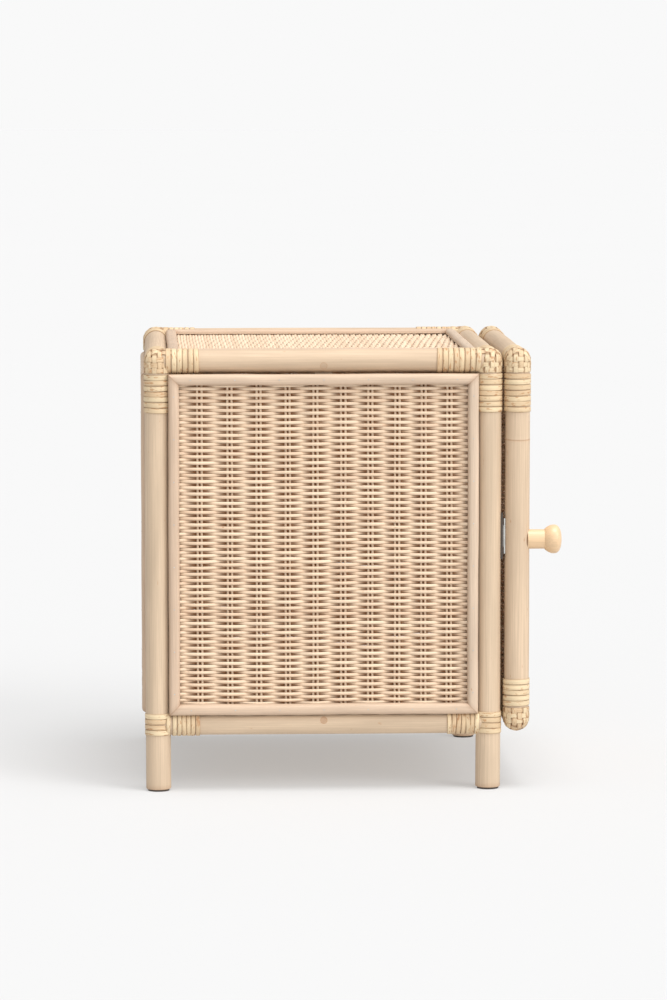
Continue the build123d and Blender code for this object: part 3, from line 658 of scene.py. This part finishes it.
def ring_strips(centre, axis, radius, places, width, seed, tilt=PEEL_TILT):
    """Turns of peel round a pole: circles about its axis, each leaning by a small sine
    of the angle and standing off by a hair of its own."""
    rng = np.random.default_rng(seed)
    places = np.asarray(places)
    count = len(places)
    side = unit(np.cross(axis, X_AXIS if abs(axis[0]) < 0.5 else Y_AXIS))
    other = np.cross(axis, side)
    angle = np.linspace(0, 2 * np.pi, PEEL_TURN_STEPS, endpoint=False)
    radial = np.cos(angle)[:, None] * side + np.sin(angle)[:, None] * other
    lean = tilt * rng.uniform(0.4, 1.0, count)[:, None] * np.sin(
        angle[None] + rng.uniform(0, 2 * np.pi, count)[:, None])
    wave = 0.12 * MM * np.sin(3 * angle[None] + rng.uniform(0, 6, count)[:, None])
    reach = radius - 0.1 * MM + 0.08 * MM * rng.uniform(0, 1, count)[:, None]
    paths = (centre + places[:, None, None] * axis + (lean + wave)[..., None] * axis
             + np.broadcast_to(reach, lean.shape)[..., None] * radial)
    return peel_block(paths, np.broadcast_to(radial, paths.shape), width, PEEL_T, seed, True)


def lifted(path, normal, beat):
    """A knot strip's path moved along its normal by rise * (1 + beat) less its seat, and
    how deeply the strip is sunk where the beat is low, which is painted as shade."""
    lift = KNOT_RISE + KNOT_RISE * beat
    return path + (lift - KNOT_SEAT)[:, None] * normal, np.clip(-0.15 - 0.85 * beat, 0, 1)


def knot_strips(strips, normals, sunk_shades, seed):
    """The peel of a knot's strips."""
    return peel_block(np.array(strips), np.array(normals), KNOT_WIDTH, KNOT_THICK, seed,
                      False, np.array(sunk_shades))


def over_strips(centre, face, across, pole_end, rail_z, seed, to_rail):
    """Strips over a pole's dome. Each lies in an upright plane: up the pole's side,
    round the dome in a circle, then down on to the rail's back or down the far side.
    A sine along the strip lifts it over and sinks it under those that cross it."""
    end = pole_end * UP
    strips, normals, sunk_shades = [], [], []
    for number, offset in enumerate(KNOT_OFFSETS):
        reach = math.sqrt(POLE_R**2 - offset**2)
        rise = np.linspace(-KNOT_FALL, 0, 9, endpoint=False)
        up_side = reach * face + rise[:, None] * end
        up_normal = unit(reach * face + offset * across) + 0 * up_side
        sweep_end = np.pi / 2 if to_rail else np.pi
        turn = np.linspace(0, sweep_end, 15 if to_rail else 29)
        arc = reach * (np.cos(turn)[:, None] * face + np.sin(turn)[:, None] * end)
        arc_normal = unit(arc + offset * across)
        parts, part_normals = [up_side, arc], [up_normal, arc_normal]
        if to_rail:
            far = np.linspace(0, KNOT_REACH, 9)[1:]
            rail_top = (rail_z - centre[2]) * pole_end + math.sqrt(RAIL_R**2 - offset**2)
            share = np.clip(far / (9 * MM), 0, 1)
            share = share * share * (3 - 2 * share)
            tall = reach + (rail_top - reach) * share
            parts.append(-far[:, None] * face + tall[:, None] * end)
            lift = math.sqrt(RAIL_R**2 - offset**2) * end + offset * across
            part_normals.append(unit(lift) + 0 * parts[-1])
        else:
            fall = np.linspace(0, -KNOT_FALL, 9)[1:]
            parts.append(-reach * face + fall[:, None] * end)
            part_normals.append(unit(-reach * face + offset * across) + 0 * parts[-1])
        path = np.concatenate(parts)
        normal = np.concatenate(part_normals)
        length = path_lengths(path[None])[0]
        beat = np.sin(np.pi * (length / KNOT_BEAT + number))
        path, depth = lifted(path, normal, beat)
        strips.append(centre + offset * across + path)
        normals.append(normal)
        sunk_shades.append(depth)
    return knot_strips(strips, normals, sunk_shades, seed)


def round_strips(centre, facing, pole_end, half_turn, seed):
    """Strips round the outside of a pole's end: arcs about the pole at a few levels,
    drawn in by the dome, and lifted by a sine to cross the strips over it."""
    rng = np.random.default_rng(seed)
    side = np.cross(UP, facing)
    strips, normals, sunk_shades = [], [], []
    for number, level in enumerate(KNOT_LEVELS):
        on_dome = max(level, 0.0)
        angle = np.linspace(-half_turn, half_turn, 41)
        tilt = 0.35 * MM * rng.uniform(-1, 1) * np.sin(angle)
        radial = np.cos(angle)[:, None] * facing + np.sin(angle)[:, None] * side
        reach = math.sqrt(POLE_R**2 - on_dome**2)
        normal = unit(reach * radial + on_dome * pole_end * UP)
        beat = np.sin(angle * POLE_R / KNOT_BEAT * np.pi + np.pi * number + 0.8)
        path = reach * radial + (level + tilt)[:, None] * pole_end * UP
        path, depth = lifted(centre + path, normal, beat)
        strips.append(path)
        normals.append(normal)
        sunk_shades.append(depth)
    return knot_strips(strips, normals, sunk_shades, seed)


def knot_blocks(centre, rail_ways, pole_end, rail_z, seed):
    """The knotted cap on a pole's end: strips over the dome both ways, and strips
    round its outside between the rails."""
    blocks = []
    if len(rail_ways) == 1:
        blocks.append(over_strips(centre, Y_AXIS, X_AXIS, pole_end, rail_z, seed + 3,
                                  False))
    for number, way in enumerate(rail_ways):
        across = np.abs(np.cross(UP, way))
        blocks.append(over_strips(centre, -way, across, pole_end, rail_z, seed + number,
                                  True))
    facing = unit(-np.sum(rail_ways, axis=0))
    half_turn = math.radians(KNOT_TURNS[len(rail_ways)])
    blocks.append(round_strips(centre, facing, pole_end, half_turn, seed + 7))
    return blocks


def make_body_binding(name, number, sizes):
    """The peel at one corner of the body: top knot, turns on the post and rails, and
    the turns round the foot of the post's joint."""
    material = finish_named("peel")
    at = middle(f"post_{name}")
    rail_x = -np.sign(at[0]) * X_AXIS
    rail_y = -np.sign(at[1] - BODY_MIDDLE_Y) * Y_AXIS
    more_turns = 2 if at[1] < BODY_MIDDLE_Y else 0
    pitch = sizes.band_pitch
    width = pitch * PEEL_SHARE
    first = RAIL_TURNS + pitch / 2
    seed = BODY_PEEL_SEED + 20 * number
    top = np.array((at[0], at[1], BODY_TOP_Z))
    crown = np.array((at[0], at[1], CROWN_Z))
    blocks = knot_blocks(crown, (rail_x, rail_y), 1, BODY_TOP_Z, seed)
    turns = POLE_TURNS + pitch / 2 + pitch * np.arange(7)
    blocks.append(ring_strips(top, -UP, POLE_R, turns, width, seed + 10))
    for way, more in ((rail_x, 0), (rail_y, more_turns)):
        turns = first + pitch * np.arange(5 + more)
        blocks.append(ring_strips(top, way, RAIL_R, turns, width, seed + 11))
        blocks.append(ring_strips(top, way, RAIL_R + SLANT_LIFT, [first - 0.9 * pitch], width,
                                  seed + 12, PEEL_SLANT))
    piece = build_piece(f"peel_top_{name}", blocks, material, PEEL_CREASE)
    place_piece(piece, "cabinet", "peel", f"binding_top_{name}")
    low = np.array((at[0], at[1], BODY_LOW_Z))
    turns = (np.arange(4) - 1.5) * FOOT_PITCH
    blocks = [ring_strips(low, UP, POLE_R, turns, FOOT_WIDTH, seed + 14)]
    for way in (rail_x, rail_y):
        turns = RAIL_TURNS + FOOT_RAIL_PITCH * (0.5 + np.arange(6))
        blocks.append(ring_strips(low, way, RAIL_R, turns, FOOT_RAIL_PITCH * PEEL_SHARE,
                                  seed + 15))
        blocks.append(ring_strips(low, way, RAIL_R + SLANT_LIFT, [POLE_R - 2.2 * MM],
                                  FOOT_RAIL_PITCH, seed + 16, PEEL_SLANT))
    piece = build_piece(f"peel_bottom_{name}", blocks, material, PEEL_CREASE)
    place_piece(piece, "cabinet", "peel", f"binding_bottom_{name}")


def make_door_binding(name, number, sizes):
    """The peel at both ends of one stile: a knot, turns on the stile, turns on the
    door's rail."""
    material = finish_named("peel")
    at = middle(f"door_stile_{name}")
    way = -np.sign(at[0]) * X_AXIS
    pitch = sizes.band_pitch
    width = pitch * PEEL_SHARE
    ends = (
        ("top", CROWN_Z, BODY_TOP_Z, 1, 7, 0),
        ("bottom", DOOR_CROWN_Z, DOOR_LOW_Z, -1, 5, 9),
    )
    for level, crown_z, rail_z, pole_end, count, seed_shift in ends:
        seed = DOOR_PEEL_SEED + 20 * number + seed_shift
        crown = np.array((at[0], at[1], crown_z))
        joint = np.array((at[0], at[1], rail_z))
        blocks = knot_blocks(crown, (way,), pole_end, rail_z, seed)
        turns = POLE_TURNS + pitch / 2 + pitch * np.arange(count)
        blocks.append(ring_strips(joint, -pole_end * UP, POLE_R, turns, width, seed + 5))
        turns = RAIL_TURNS + pitch / 2 + pitch * np.arange(6)
        blocks.append(ring_strips(joint, way, RAIL_R, turns, width, seed + 6))
        piece = build_piece(f"peel_door_{level}_{name}", blocks, material, PEEL_CREASE)
        place_piece(piece, "door", "peel", f"door_binding_{level}_{name}")


# Woven panels
def group_places(width, count, rng):
    """Where the pairs of stakes stand across a panel, with one more place past each
    edge for the weave to run on to. Counting from the middle, place i is
    shift + pitch * i - crowd * i * i, so the pairs draw together to one side."""
    sizes = bpy.context.scene.cane_sizes
    pitch = width / (count + 1)
    i = np.arange(-1, count + 1) - (count - 1) / 2
    places = sizes.stake_shift + pitch * i - sizes.stake_crowd * i * i
    return places + rng.uniform(-0.35, 0.35, len(places)) * MM


def weaver_block(centre, u, v, n, width, low, high, groups, sizes, seed):
    """Weavers over and under the pairs of stakes. Along the row the depth is
    reach * tanh(cos(pi p) / 2) / tanh(1 / 2), where p counts the pairs passed, and each
    row is the mirror of its neighbours. Rows wander a little together. Where a weaver
    runs behind the stakes, its outer side gets painted shade in brown, for the shade in
    the hollows of the weave."""
    rng = np.random.default_rng(seed)
    radius = sizes.reed_radius
    rows = round((high - low) / sizes.row_pitch)
    pitch = (high - low) / rows
    reach = sizes.stake_radius + radius - 0.15 * MM
    index = np.arange(len(groups), dtype=float)
    ends = np.interp((-width / 2, width / 2), groups, index)
    p = np.arange(math.floor(ends[0] * 8), math.ceil(ends[1] * 8) + 1) / 8
    p = np.clip(p, *ends)
    along = np.interp(p, index, groups)
    sign = np.where(np.arange(rows) % 2, 1.0, -1.0)[:, None]
    wave = np.tanh(0.5 * np.cos(np.pi * p)) / math.tanh(0.5)
    depth = reach * sign * wave[None]
    height = low + pitch * (0.5 + np.arange(rows))
    drift = np.cumsum(rng.normal(0, 0.14, rows))[:, None]
    sway = ROW_SWAY * np.sin(along[None] / ROW_SWAY_RUN + drift)
    sway = sway + 0.03 * MM * rng.normal(0, 1, (rows, 1))
    pinch = 0.05 * MM * np.cos(2 * np.pi * p)[None] * rng.uniform(-1, 1, (rows, 1))
    lift = height[:, None] + sway + pinch
    depth = depth + 0.12 * MM * rng.normal(0, 1, (rows, 1))
    start = rng.uniform(0, 6, (rows, 1))
    depth = depth + ROW_RIPPLE * np.sin(along[None] / ROW_RIPPLE_RUN + start)
    paths = (centre + along[None, :, None] * u + lift[..., None] * v
             + depth[..., None] * n)
    thick = radius * rng.uniform(0.96, 1.04, (rows, 1, 1))
    ring = round_section(STRAND_SIDES)
    section = np.empty((rows, len(p), STRAND_SIDES, 2))
    section[..., 0] = REED_DEEP * thick * ring[:, 0]
    section[..., 1] = REED_TALL * thick * ring[:, 1]
    points = sweep(paths, n, section)
    grain = laid_grain(rng, section[..., 0], section[..., 1], along[None, :, None])
    # Painted shade: brown on the outer side of a weaver where it runs deep behind the stakes,
    # for the shade in the hollows of the weave.
    sunk_shade = np.clip(-0.45 - 1.5 * depth / reach, 0, 1)[..., None]
    outer = np.clip(1.0 + 1.6 * ring[:, 0], 0, 1)[None, None]
    mark = np.clip(0.95 * sunk_shade**1.2 * outer, 0, 1)
    tone = rng.uniform(0, 1, (rows, 1, 1)) ** 1.5
    return strand_data(points, grain, tone, mark, False)


def stake_block(centre, u, v, n, low, high, groups, sizes, seed):
    """Pairs of upright stakes, each a slender rod that wanders by a small sine."""
    rng = np.random.default_rng(seed)
    places = groups[1:-1]
    spread = sizes.pair_gap / 2
    across = np.concatenate([places - spread, places + spread])
    count = len(across)
    along = np.linspace(low, high, 61)
    phase = rng.uniform(0, 6, (count, 1))
    sway = STAKE_SWAY * np.sin(along[None] / STAKE_SWAY_RUN + phase)
    dip = STAKE_DIP * np.sin(along[None] / STAKE_DIP_RUN + phase)
    paths = (centre + (across[:, None] + sway)[..., None] * u
             + along[None, :, None] * v + dip[..., None] * n)
    ring = round_section(STRAND_SIDES)
    section = sizes.stake_radius * rng.uniform(0.95, 1.04, (count, 1, 1, 1)) * ring
    section = np.broadcast_to(section, (count, len(along), STRAND_SIDES, 2))
    points = sweep(paths, n, section)
    grain = laid_grain(rng, section[..., 0], section[..., 1], along[None, :, None])
    tone = rng.uniform(0, 0.5, (count, 1, 1))
    return strand_data(points, grain, tone, 0.05, False)


def make_woven_panel(node, body, u, v, n, count, seed):
    """One woven panel: its weavers and its stakes, in the middle of the node's
    thickness."""
    sizes = bpy.context.scene.cane_sizes
    low, high = corners(node)
    centre = (low + high) / 2
    width = float(abs((high - low) @ u)) - WEAVE_SIDE_TRIM
    tall = float(abs((high - low) @ v)) - WEAVE_END_TRIM
    rng = np.random.default_rng(seed)
    groups = group_places(width + PAIRS_MARGIN, count, rng)
    material = finish_named("reed")
    weavers = weaver_block(centre, u, v, n, width, -tall / 2, tall / 2, groups, sizes,
                           seed + 1)
    piece = build_piece(f"weavers_{node}", [weavers], material, STRAND_CREASE)
    place_piece(piece, body, "weave", node)
    stakes = stake_block(centre, u, v, n, -tall / 2, tall / 2, groups, sizes, seed + 2)
    piece = build_piece(f"stakes_{node}", [stakes], material, STRAND_CREASE)
    place_piece(piece, body, "weave", node)


# Mouldings
def make_moulding(node, body, u, v, n, seed):
    """Four mitred strips with crowned fronts round a panel. A strip's point is the
    middle, plus t * (half the side - a) along it, plus a inward from the outer edge,
    plus its height: so its ends meet the next strips on the diagonal. The strip
    wanders by a small sine that is nought at the mitres."""
    rng = np.random.default_rng(seed)
    low, high = corners(node)
    centre = (low + high) / 2
    size = high - low
    thick = float(abs(size @ n))
    base = centre - n * thick / 2
    wide = float(abs(size @ u)) / 2
    tall = float(abs(size @ v)) / 2
    strip = bpy.context.scene.cane_sizes.moulding_width
    section = crowned_section(strip, thick - 0.1 * MM, MOULDING_POINTS, MOULDING_FULLNESS)
    section[:, 1] += strip / 2
    t = np.concatenate([[-1], np.linspace(-0.995, 0.995, 61), [1]])
    taper = 1 - t**8
    all_points, all_grain = [], []
    for inward, far, length in ((-v, tall, wide), (v, tall, wide),
                                (-u, wide, tall), (u, wide, tall)):
        along = np.cross(n, inward)
        phase = rng.uniform(0, 6, 3)
        wander = taper * (0.18 * np.sin(5 * t + phase[0]) + 0.1 * np.sin(14 * t + phase[1]))
        swell = 1 - 0.02 * (1 + np.sin(8 * t + phase[2])) * taper
        a = section[None, :, 1] + wander[:, None] * MM
        half = length - section[None, :, 1] - 0.04 * MM
        h = section[None, :, 0] * swell[:, None]
        points = (base + (t[:, None] * half)[..., None] * along
                  + (a - far)[..., None] * inward + h[..., None] * n)
        grain = np.stack([a + 0 * h, h, t[:, None] * half], axis=-1)
        all_points.append(points)
        all_grain.append(grain + rng.uniform(0, 5, 3))
    points = np.array(all_points)
    edge = np.exp(-np.abs(np.abs(t) - 1) * wide / MITRE_MARK_RUN)[None, :, None]
    tone = rng.uniform(0, 1, (4, 1, 1))
    block = strand_data(points, np.array(all_grain), tone, 0.6 * edge, False)
    piece = build_piece(f"strips_{node}", [block], finish_named("moulding"),
                        MOULDING_CREASE)
    place_piece(piece, body, "moulding_wood", node)


# Knob
def knob_radius(s, length, sizes):
    """The knob's radius at a distance from its root: a straight neck that flares by a
    cube into the head, a head that swells by a sine, and an elliptic front."""
    neck = length - sizes.knob_head_depth
    rim = length - sizes.knob_head_depth * KNOB_RIM_SHARE
    flare = np.clip((s - neck) / (rim - neck), 0, 1)
    swell = sizes.knob_neck + (sizes.knob_head - sizes.knob_neck) * np.sin(
        flare * np.pi / 2) ** 0.8
    front = np.clip((s - rim) / (length - rim), 0, 1)
    closing = (1 - front**2.6) ** (1 / 2.2)
    return np.where(s <= rim, swell, sizes.knob_head * closing)


def make_knob():
    """The turned knob: a round section carried along its axis from the stile to its
    tip, with its radius worked out at each place."""
    sizes = bpy.context.scene.cane_sizes
    low, high = corners("knob")
    centre = (low + high) / 2
    root = float(middle("door_stile_left")[1]) - POLE_R * 0.86
    length = root - float(low[1])
    head = length - sizes.knob_head_depth
    front = sizes.knob_head_depth * KNOB_RIM_SHARE
    tip = 1 - np.cos(np.linspace(0, np.pi / 2, 26))[::-1]
    s = np.concatenate([
        np.linspace(0, head, 12, endpoint=False),
        np.linspace(head, length - front, 20, endpoint=False),
        length - front * tip,
    ])
    path = np.stack([np.full_like(s, centre[0]), root - s, np.full_like(s, centre[2])], -1)
    radius = np.maximum(knob_radius(s, length, sizes), 0.05 * MM)
    ring = round_section(KNOB_SIDES)
    section = radius[None, :, None, None] * ring
    points = sweep(path[None], UP, section)
    grain = np.stack(np.broadcast_arrays(
        section[..., 0] + 4 * MM, section[..., 1], s[None, :, None]), axis=-1)
    block = strand_data(points, grain + 3.7, 0.4, 0.0, False)
    piece = build_piece("turned_knob", [block], finish_named("turned_wood"), 50.0)
    place_piece(piece, "door", "knob_wood", "knob")


# Plugs
def make_plugs():
    """Round plugs over the braces' screws. A plug's face follows its rail: at height h
    off the rail's axis it stands at sqrt(r * r - h * h), r being a hair over the rail's
    radius; its side goes straight in."""
    low, high = corners("screw_plugs")
    radius = float(high[1] - low[1]) / 2
    y = float(low[1] + high[1]) / 2
    places = ((high[2] - radius, BODY_TOP_Z, 0.15), (low[2] + radius, BODY_LOW_Z, 0.45))
    reach = radius * np.array((1.0, 1.0, 0.97, 0.8, 0.55, 0.3, 0.02))
    angle = np.linspace(0, 2 * np.pi, 32, endpoint=False)
    blocks = []
    for side_name, side in (("left", -1.0), ("right", 1.0)):
        axis_x = float(middle(f"rail_top_{side_name}")[0])
        for z, axis_z, tone in places:
            y_off = side * reach[:, None] * np.cos(angle)
            z_off = reach[:, None] * np.sin(angle)
            h = z + z_off - axis_z
            out = np.sqrt((RAIL_R + 0.05 * MM) ** 2 - h**2)
            out[0] -= 2.5 * MM
            points = np.stack([axis_x + side * out, y + y_off, z + z_off], -1)[None]
            grain = np.stack([z_off, h, 3 * y_off], -1)[None] + 2.0 + z
            rim = np.where(reach > 0.9 * radius, 0.8, 0.0)[None, :, None]
            blocks.append(strand_data(points, grain, tone, rim, False))
    piece = build_piece("rail_plugs", blocks, finish_named("plug_wood"), 40.0)
    place_piece(piece, "cabinet", "plug_wood", "screw_plugs")


# Carried-over nodes
CARRIED = {
    "plywood": ("bottom_board", "shelf_board", "shelf_bearers"),
    "dark_plastic": ("foot_glides", "catch_case"),
    "bright_steel": ("catch_magnet", "strike_plate"),
    "plated_steel": (
        "hinge_post_leaves", "hinge_door_leaves", "hinge_pins", "hinge_post_screws",
        "door_small_screws", "catch_screws", "frame_screws", "door_frame_screws",
        "knob_screw", "moulding_nails", "door_moulding_nails",
    ),
}


def dress_nodes():
    """Gives every node that stays its finish."""
    for name, nodes in CARRIED.items():
        material = finish_named(name)
        for node in nodes:
            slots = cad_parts[node].data.materials
            if not len(slots):
                slots.append(material)
            for index in range(len(slots)):
                slots[index] = material


# Settings
def length_setting(name, description, default, precision=5):
    """A length that the user can change."""
    return FloatProperty(
        name=name, description=description, default=default, subtype="DISTANCE",
        unit="LENGTH", precision=precision)


def place_setting(name, description, default):
    """A place that the user can change."""
    return FloatVectorProperty(
        name=name, description=description, default=default, subtype="TRANSLATION",
        unit="LENGTH")


def strength_setting(name, description, default):
    """A brightness that the user can change."""
    return FloatProperty(name=name, description=description, default=default, min=0.0)


def colour_setting(name, description, default):
    """A colour that the user can change."""
    return FloatVectorProperty(
        name=name, description=description, default=default, subtype="COLOR", size=3,
        min=0.0, max=1.0)


class CaneSizes(PropertyGroup):
    """Sizes of the strands, strips and knob."""

    reed_radius: length_setting("Reed radius", "Radius of a weaver", 1.66 * MM)
    stake_radius: length_setting("Stake radius", "Radius of a stake", 1.4 * MM)
    pair_gap: length_setting(
        "Pair spacing", "Distance between the stakes of a pair", 4.8 * MM)
    row_pitch: length_setting(
        "Row pitch", "Distance from one weaver to the next", 3.49 * MM)
    stake_shift: length_setting(
        "Pair shift", "How far the pairs stand off the middle", 6.7 * MM)
    stake_crowd: length_setting(
        "Pair crowding", "How much the pairs draw to one side", 0.28 * MM, 6)
    stake_groups: IntProperty(
        name="Stake pairs", description="Pairs of stakes across a panel", default=10, min=2)
    band_pitch: length_setting(
        "Binding pitch", "Distance from one turn of peel to the next", 6.2 * MM)
    moulding_width: length_setting(
        "Moulding width", "Width of the strips round the panels", 12.4 * MM)
    knob_neck: length_setting("Knob neck", "Radius of the knob's neck", 11.0 * MM)
    knob_head: length_setting("Knob head", "Radius of the knob's head", 16.25 * MM)
    knob_head_depth: length_setting(
        "Knob head depth", "Length of the knob's head", 19.5 * MM)


class CaneColours(PropertyGroup):
    """Colours of the finishes, in linear light."""

    pole: colour_setting("Poles", "Sanded rattan pole", (0.68, 0.52, 0.365))
    peel: colour_setting("Peel", "Split peel of the bindings", (0.82, 0.655, 0.425))
    reed: colour_setting("Reed", "Woven reed", (0.878, 0.684, 0.499))
    moulding: colour_setting("Mouldings", "Strips round the panels", (0.685, 0.53, 0.395))
    knob: colour_setting("Knob", "Turned wood", (0.85, 0.60, 0.36))
    board: colour_setting("Boards", "Plywood of floor and shelf", (0.72, 0.54, 0.35))
    # Brown also colours the painted shade of sunk strands, of the peel's edges and of the
    # posts' feet.
    brown: colour_setting("Brown", "Marks, flecks and sunk strands", (0.40, 0.155, 0.045))
    steel: colour_setting("Steel", "Plated fittings", (0.66, 0.65, 0.62))
    plastic: colour_setting("Plastic", "Glides and catch case", (0.06, 0.045, 0.035))
    floor: colour_setting("Floor", "Studio floor", (0.385, 0.385, 0.385))


class StudioSettings(PropertyGroup):
    """The camera and the lights."""

    camera_place: place_setting(
        "Camera", "Where the camera stands", (-5.0527, 0.2377, 0.8332))
    camera_aim: place_setting(
        "Aim", "The point that the camera looks at", (-0.2045, 0.0214, 0.3301))
    camera_lens: FloatProperty(
        name="Lens", description="Focal length in millimetres", default=157.0, min=10.0)
    sky: strength_setting("Sky", "Light from all round", 0.5)
    backdrop: strength_setting("Backdrop", "Brightness seen behind the cabinet", 0.947)
    glow: strength_setting("Floor glow", "Light that the floor gives out", 0.36)
    key: strength_setting("Key", "Strength of the soft light on the door's side", 1.55)
    fill: strength_setting("Fill", "Strength of the soft light from the near side", 0.85)
    top: strength_setting("Top", "Strength of the soft light overhead", 2.27)


# Studio
def add_light(name, towards, spread, strength):
    """A far soft light that shines the same everywhere, from the way given."""
    data = bpy.data.lights.new(name, "SUN")
    data.angle = math.radians(spread)
    data.energy = strength
    light = bpy.data.objects.new(name, data)
    light.rotation_euler = Vector(towards).to_track_quat("Z", "Y").to_euler()
    bpy.context.scene.collection.objects.link(light)


def make_floor():
    """A wide flat floor at the cabinet's feet."""
    scene = bpy.context.scene
    mesh = bpy.data.meshes.new("floor")
    places = [(x * FLOOR_HALF, y * FLOOR_HALF, 0)
              for x, y in ((-1, -1), (1, -1), (1, 1), (-1, 1))]
    mesh.from_pydata(places, [], [(0, 1, 2, 3)])
    mesh.materials.append(floor_finish(scene.cane_colours.floor, scene.cane_studio.glow))
    floor = bpy.data.objects.new("floor", mesh)
    scene.collection.objects.link(floor)


def make_sky(settings):
    """An even pale surround, with its own brightness where the camera sees it."""
    world = bpy.data.worlds.new("studio")
    bpy.context.scene.world = world
    world.use_nodes = True
    tree = world.node_tree
    tree.nodes.clear()
    light, seen = (
        add_node(tree, "ShaderNodeBackground", Color=(1, 1, 1, 1), Strength=strength)
        for strength in (settings.sky, settings.backdrop))
    path = tree.nodes.new("ShaderNodeLightPath")
    mix = tree.nodes.new("ShaderNodeMixShader")
    tree.links.new(path.outputs["Is Camera Ray"], mix.inputs[0])
    tree.links.new(light.outputs[0], mix.inputs[1])
    tree.links.new(seen.outputs[0], mix.inputs[2])
    output = tree.nodes.new("ShaderNodeOutputWorld")
    tree.links.new(mix.outputs[0], output.inputs[0])


def make_studio():
    """Floor, surround, three soft lights and the camera."""
    settings = bpy.context.scene.cane_studio
    make_floor()
    make_sky(settings)
    add_light("key", (-0.58, -0.72, 0.5), 32.0, settings.key)
    add_light("fill", (-1.0, -0.1, 0.32), 60.0, settings.fill)
    add_light("overhead", (-0.17, -0.12, 1.0), 34.0, settings.top)
    camera = bpy.data.cameras.new("camera")
    camera.lens = settings.camera_lens
    camera.clip_end = 200.0
    view = bpy.data.objects.new("camera", camera)
    place, aim = Vector(settings.camera_place), Vector(settings.camera_aim)
    view.location = place
    view.rotation_euler = (aim - place).to_track_quat("-Z", "Y").to_euler()
    bpy.context.scene.collection.objects.link(view)
    bpy.context.scene.camera = view
    bpy.context.scene.view_settings.view_transform = "Standard"


# Operators
# Each woven face: its panel, its moulding, their body, and the ways across it, up it
# and out of it.
FACES = (
    ("panel_left", "moulding_left", "cabinet", -Y_AXIS, UP, -X_AXIS),
    ("panel_right", "moulding_right", "cabinet", Y_AXIS, UP, X_AXIS),
    ("panel_back", "moulding_back", "cabinet", -X_AXIS, UP, Y_AXIS),
    ("panel_top", "moulding_top", "cabinet", X_AXIS, Y_AXIS, UP),
    ("door_panel", "door_moulding", "door", X_AXIS, UP, -Y_AXIS),
)


class CANE_OT_poles(Operator):
    """Make every pole of the frame and the door"""

    bl_idname = "cane.poles"
    bl_label = "Poles"

    def execute(self, context):
        make_poles()
        return {"FINISHED"}


class CANE_OT_bindings(Operator):
    """Bind every joint with peel"""

    bl_idname = "cane.bindings"
    bl_label = "Bindings"

    def execute(self, context):
        sizes = context.scene.cane_sizes
        for number, name in enumerate(POST_NAMES):
            make_body_binding(name, number, sizes)
        for number, name in enumerate(STILE_NAMES):
            make_door_binding(name, number, sizes)
        return {"FINISHED"}


class CANE_OT_panels(Operator):
    """Weave the sides, the back, the top and the door"""

    bl_idname = "cane.panels"
    bl_label = "Woven panels"

    def execute(self, context):
        count = context.scene.cane_sizes.stake_groups
        for number, (node, _, body, u, v, n) in enumerate(FACES):
            make_woven_panel(node, body, u, v, n, count, PANEL_SEED + 10 * number)
        return {"FINISHED"}


class CANE_OT_mouldings(Operator):
    """Lay the mitred strips round the panels"""

    bl_idname = "cane.mouldings"
    bl_label = "Mouldings"

    def execute(self, context):
        for number, (_, node, body, u, v, n) in enumerate(FACES):
            make_moulding(node, body, u, v, n, MOULDING_SEED + number)
        return {"FINISHED"}


class CANE_OT_knob(Operator):
    """Turn the door's knob and the rails' plugs"""

    bl_idname = "cane.knob"
    bl_label = "Knob and plugs"

    def execute(self, context):
        make_knob()
        make_plugs()
        return {"FINISHED"}


class CANE_OT_fittings(Operator):
    """Give the boards, hinges, catch, screws and glides their finishes"""

    bl_idname = "cane.fittings"
    bl_label = "Boards and fittings"

    def execute(self, context):
        dress_nodes()
        return {"FINISHED"}


class CANE_OT_studio(Operator):
    """Set up the floor, the lights and the camera"""

    bl_idname = "cane.studio"
    bl_label = "Studio"

    def execute(self, context):
        make_studio()
        return {"FINISHED"}


OPERATORS = (
    CANE_OT_poles, CANE_OT_bindings, CANE_OT_panels, CANE_OT_mouldings, CANE_OT_knob,
    CANE_OT_fittings, CANE_OT_studio,
)


class CANE_PT_cabinet(Panel):
    """The cabinet's operators and settings"""

    bl_label = "Rattan cabinet"
    bl_idname = "CANE_PT_cabinet"
    bl_space_type = "VIEW_3D"
    bl_region_type = "UI"
    bl_category = "Cabinet"

    def draw(self, context):
        layout = self.layout
        scene = context.scene
        for group in (scene.cane_sizes, scene.cane_colours, scene.cane_studio):
            box = layout.box()
            for key in group.__annotations__:
                box.prop(group, key)
        for operator in OPERATORS:
            layout.operator(operator.bl_idname)


SETTINGS = (
    ("cane_sizes", CaneSizes),
    ("cane_colours", CaneColours),
    ("cane_studio", StudioSettings),
)


def register():
    """Registers the settings, the operators and the panel."""
    for key, group in SETTINGS:
        bpy.utils.register_class(group)
        setattr(bpy.types.Scene, key, PointerProperty(type=group))
    for kind in (*OPERATORS, CANE_PT_cabinet):
        bpy.utils.register_class(kind)


def unregister():
    """Undoes register."""
    for kind in (CANE_PT_cabinet, *reversed(OPERATORS)):
        bpy.utils.unregister_class(kind)
    for key, group in reversed(SETTINGS):
        delattr(bpy.types.Scene, key)
        bpy.utils.unregister_class(group)


def main():
    """Makes the whole cabinet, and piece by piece."""
    register()
    bpy.ops.cane.poles()
    bpy.ops.cane.bindings()
    bpy.ops.cane.panels()
    bpy.ops.cane.mouldings()
    bpy.ops.cane.knob()
    bpy.ops.cane.fittings()
    bpy.ops.cane.studio()


if __name__ == "__main__":
    main()
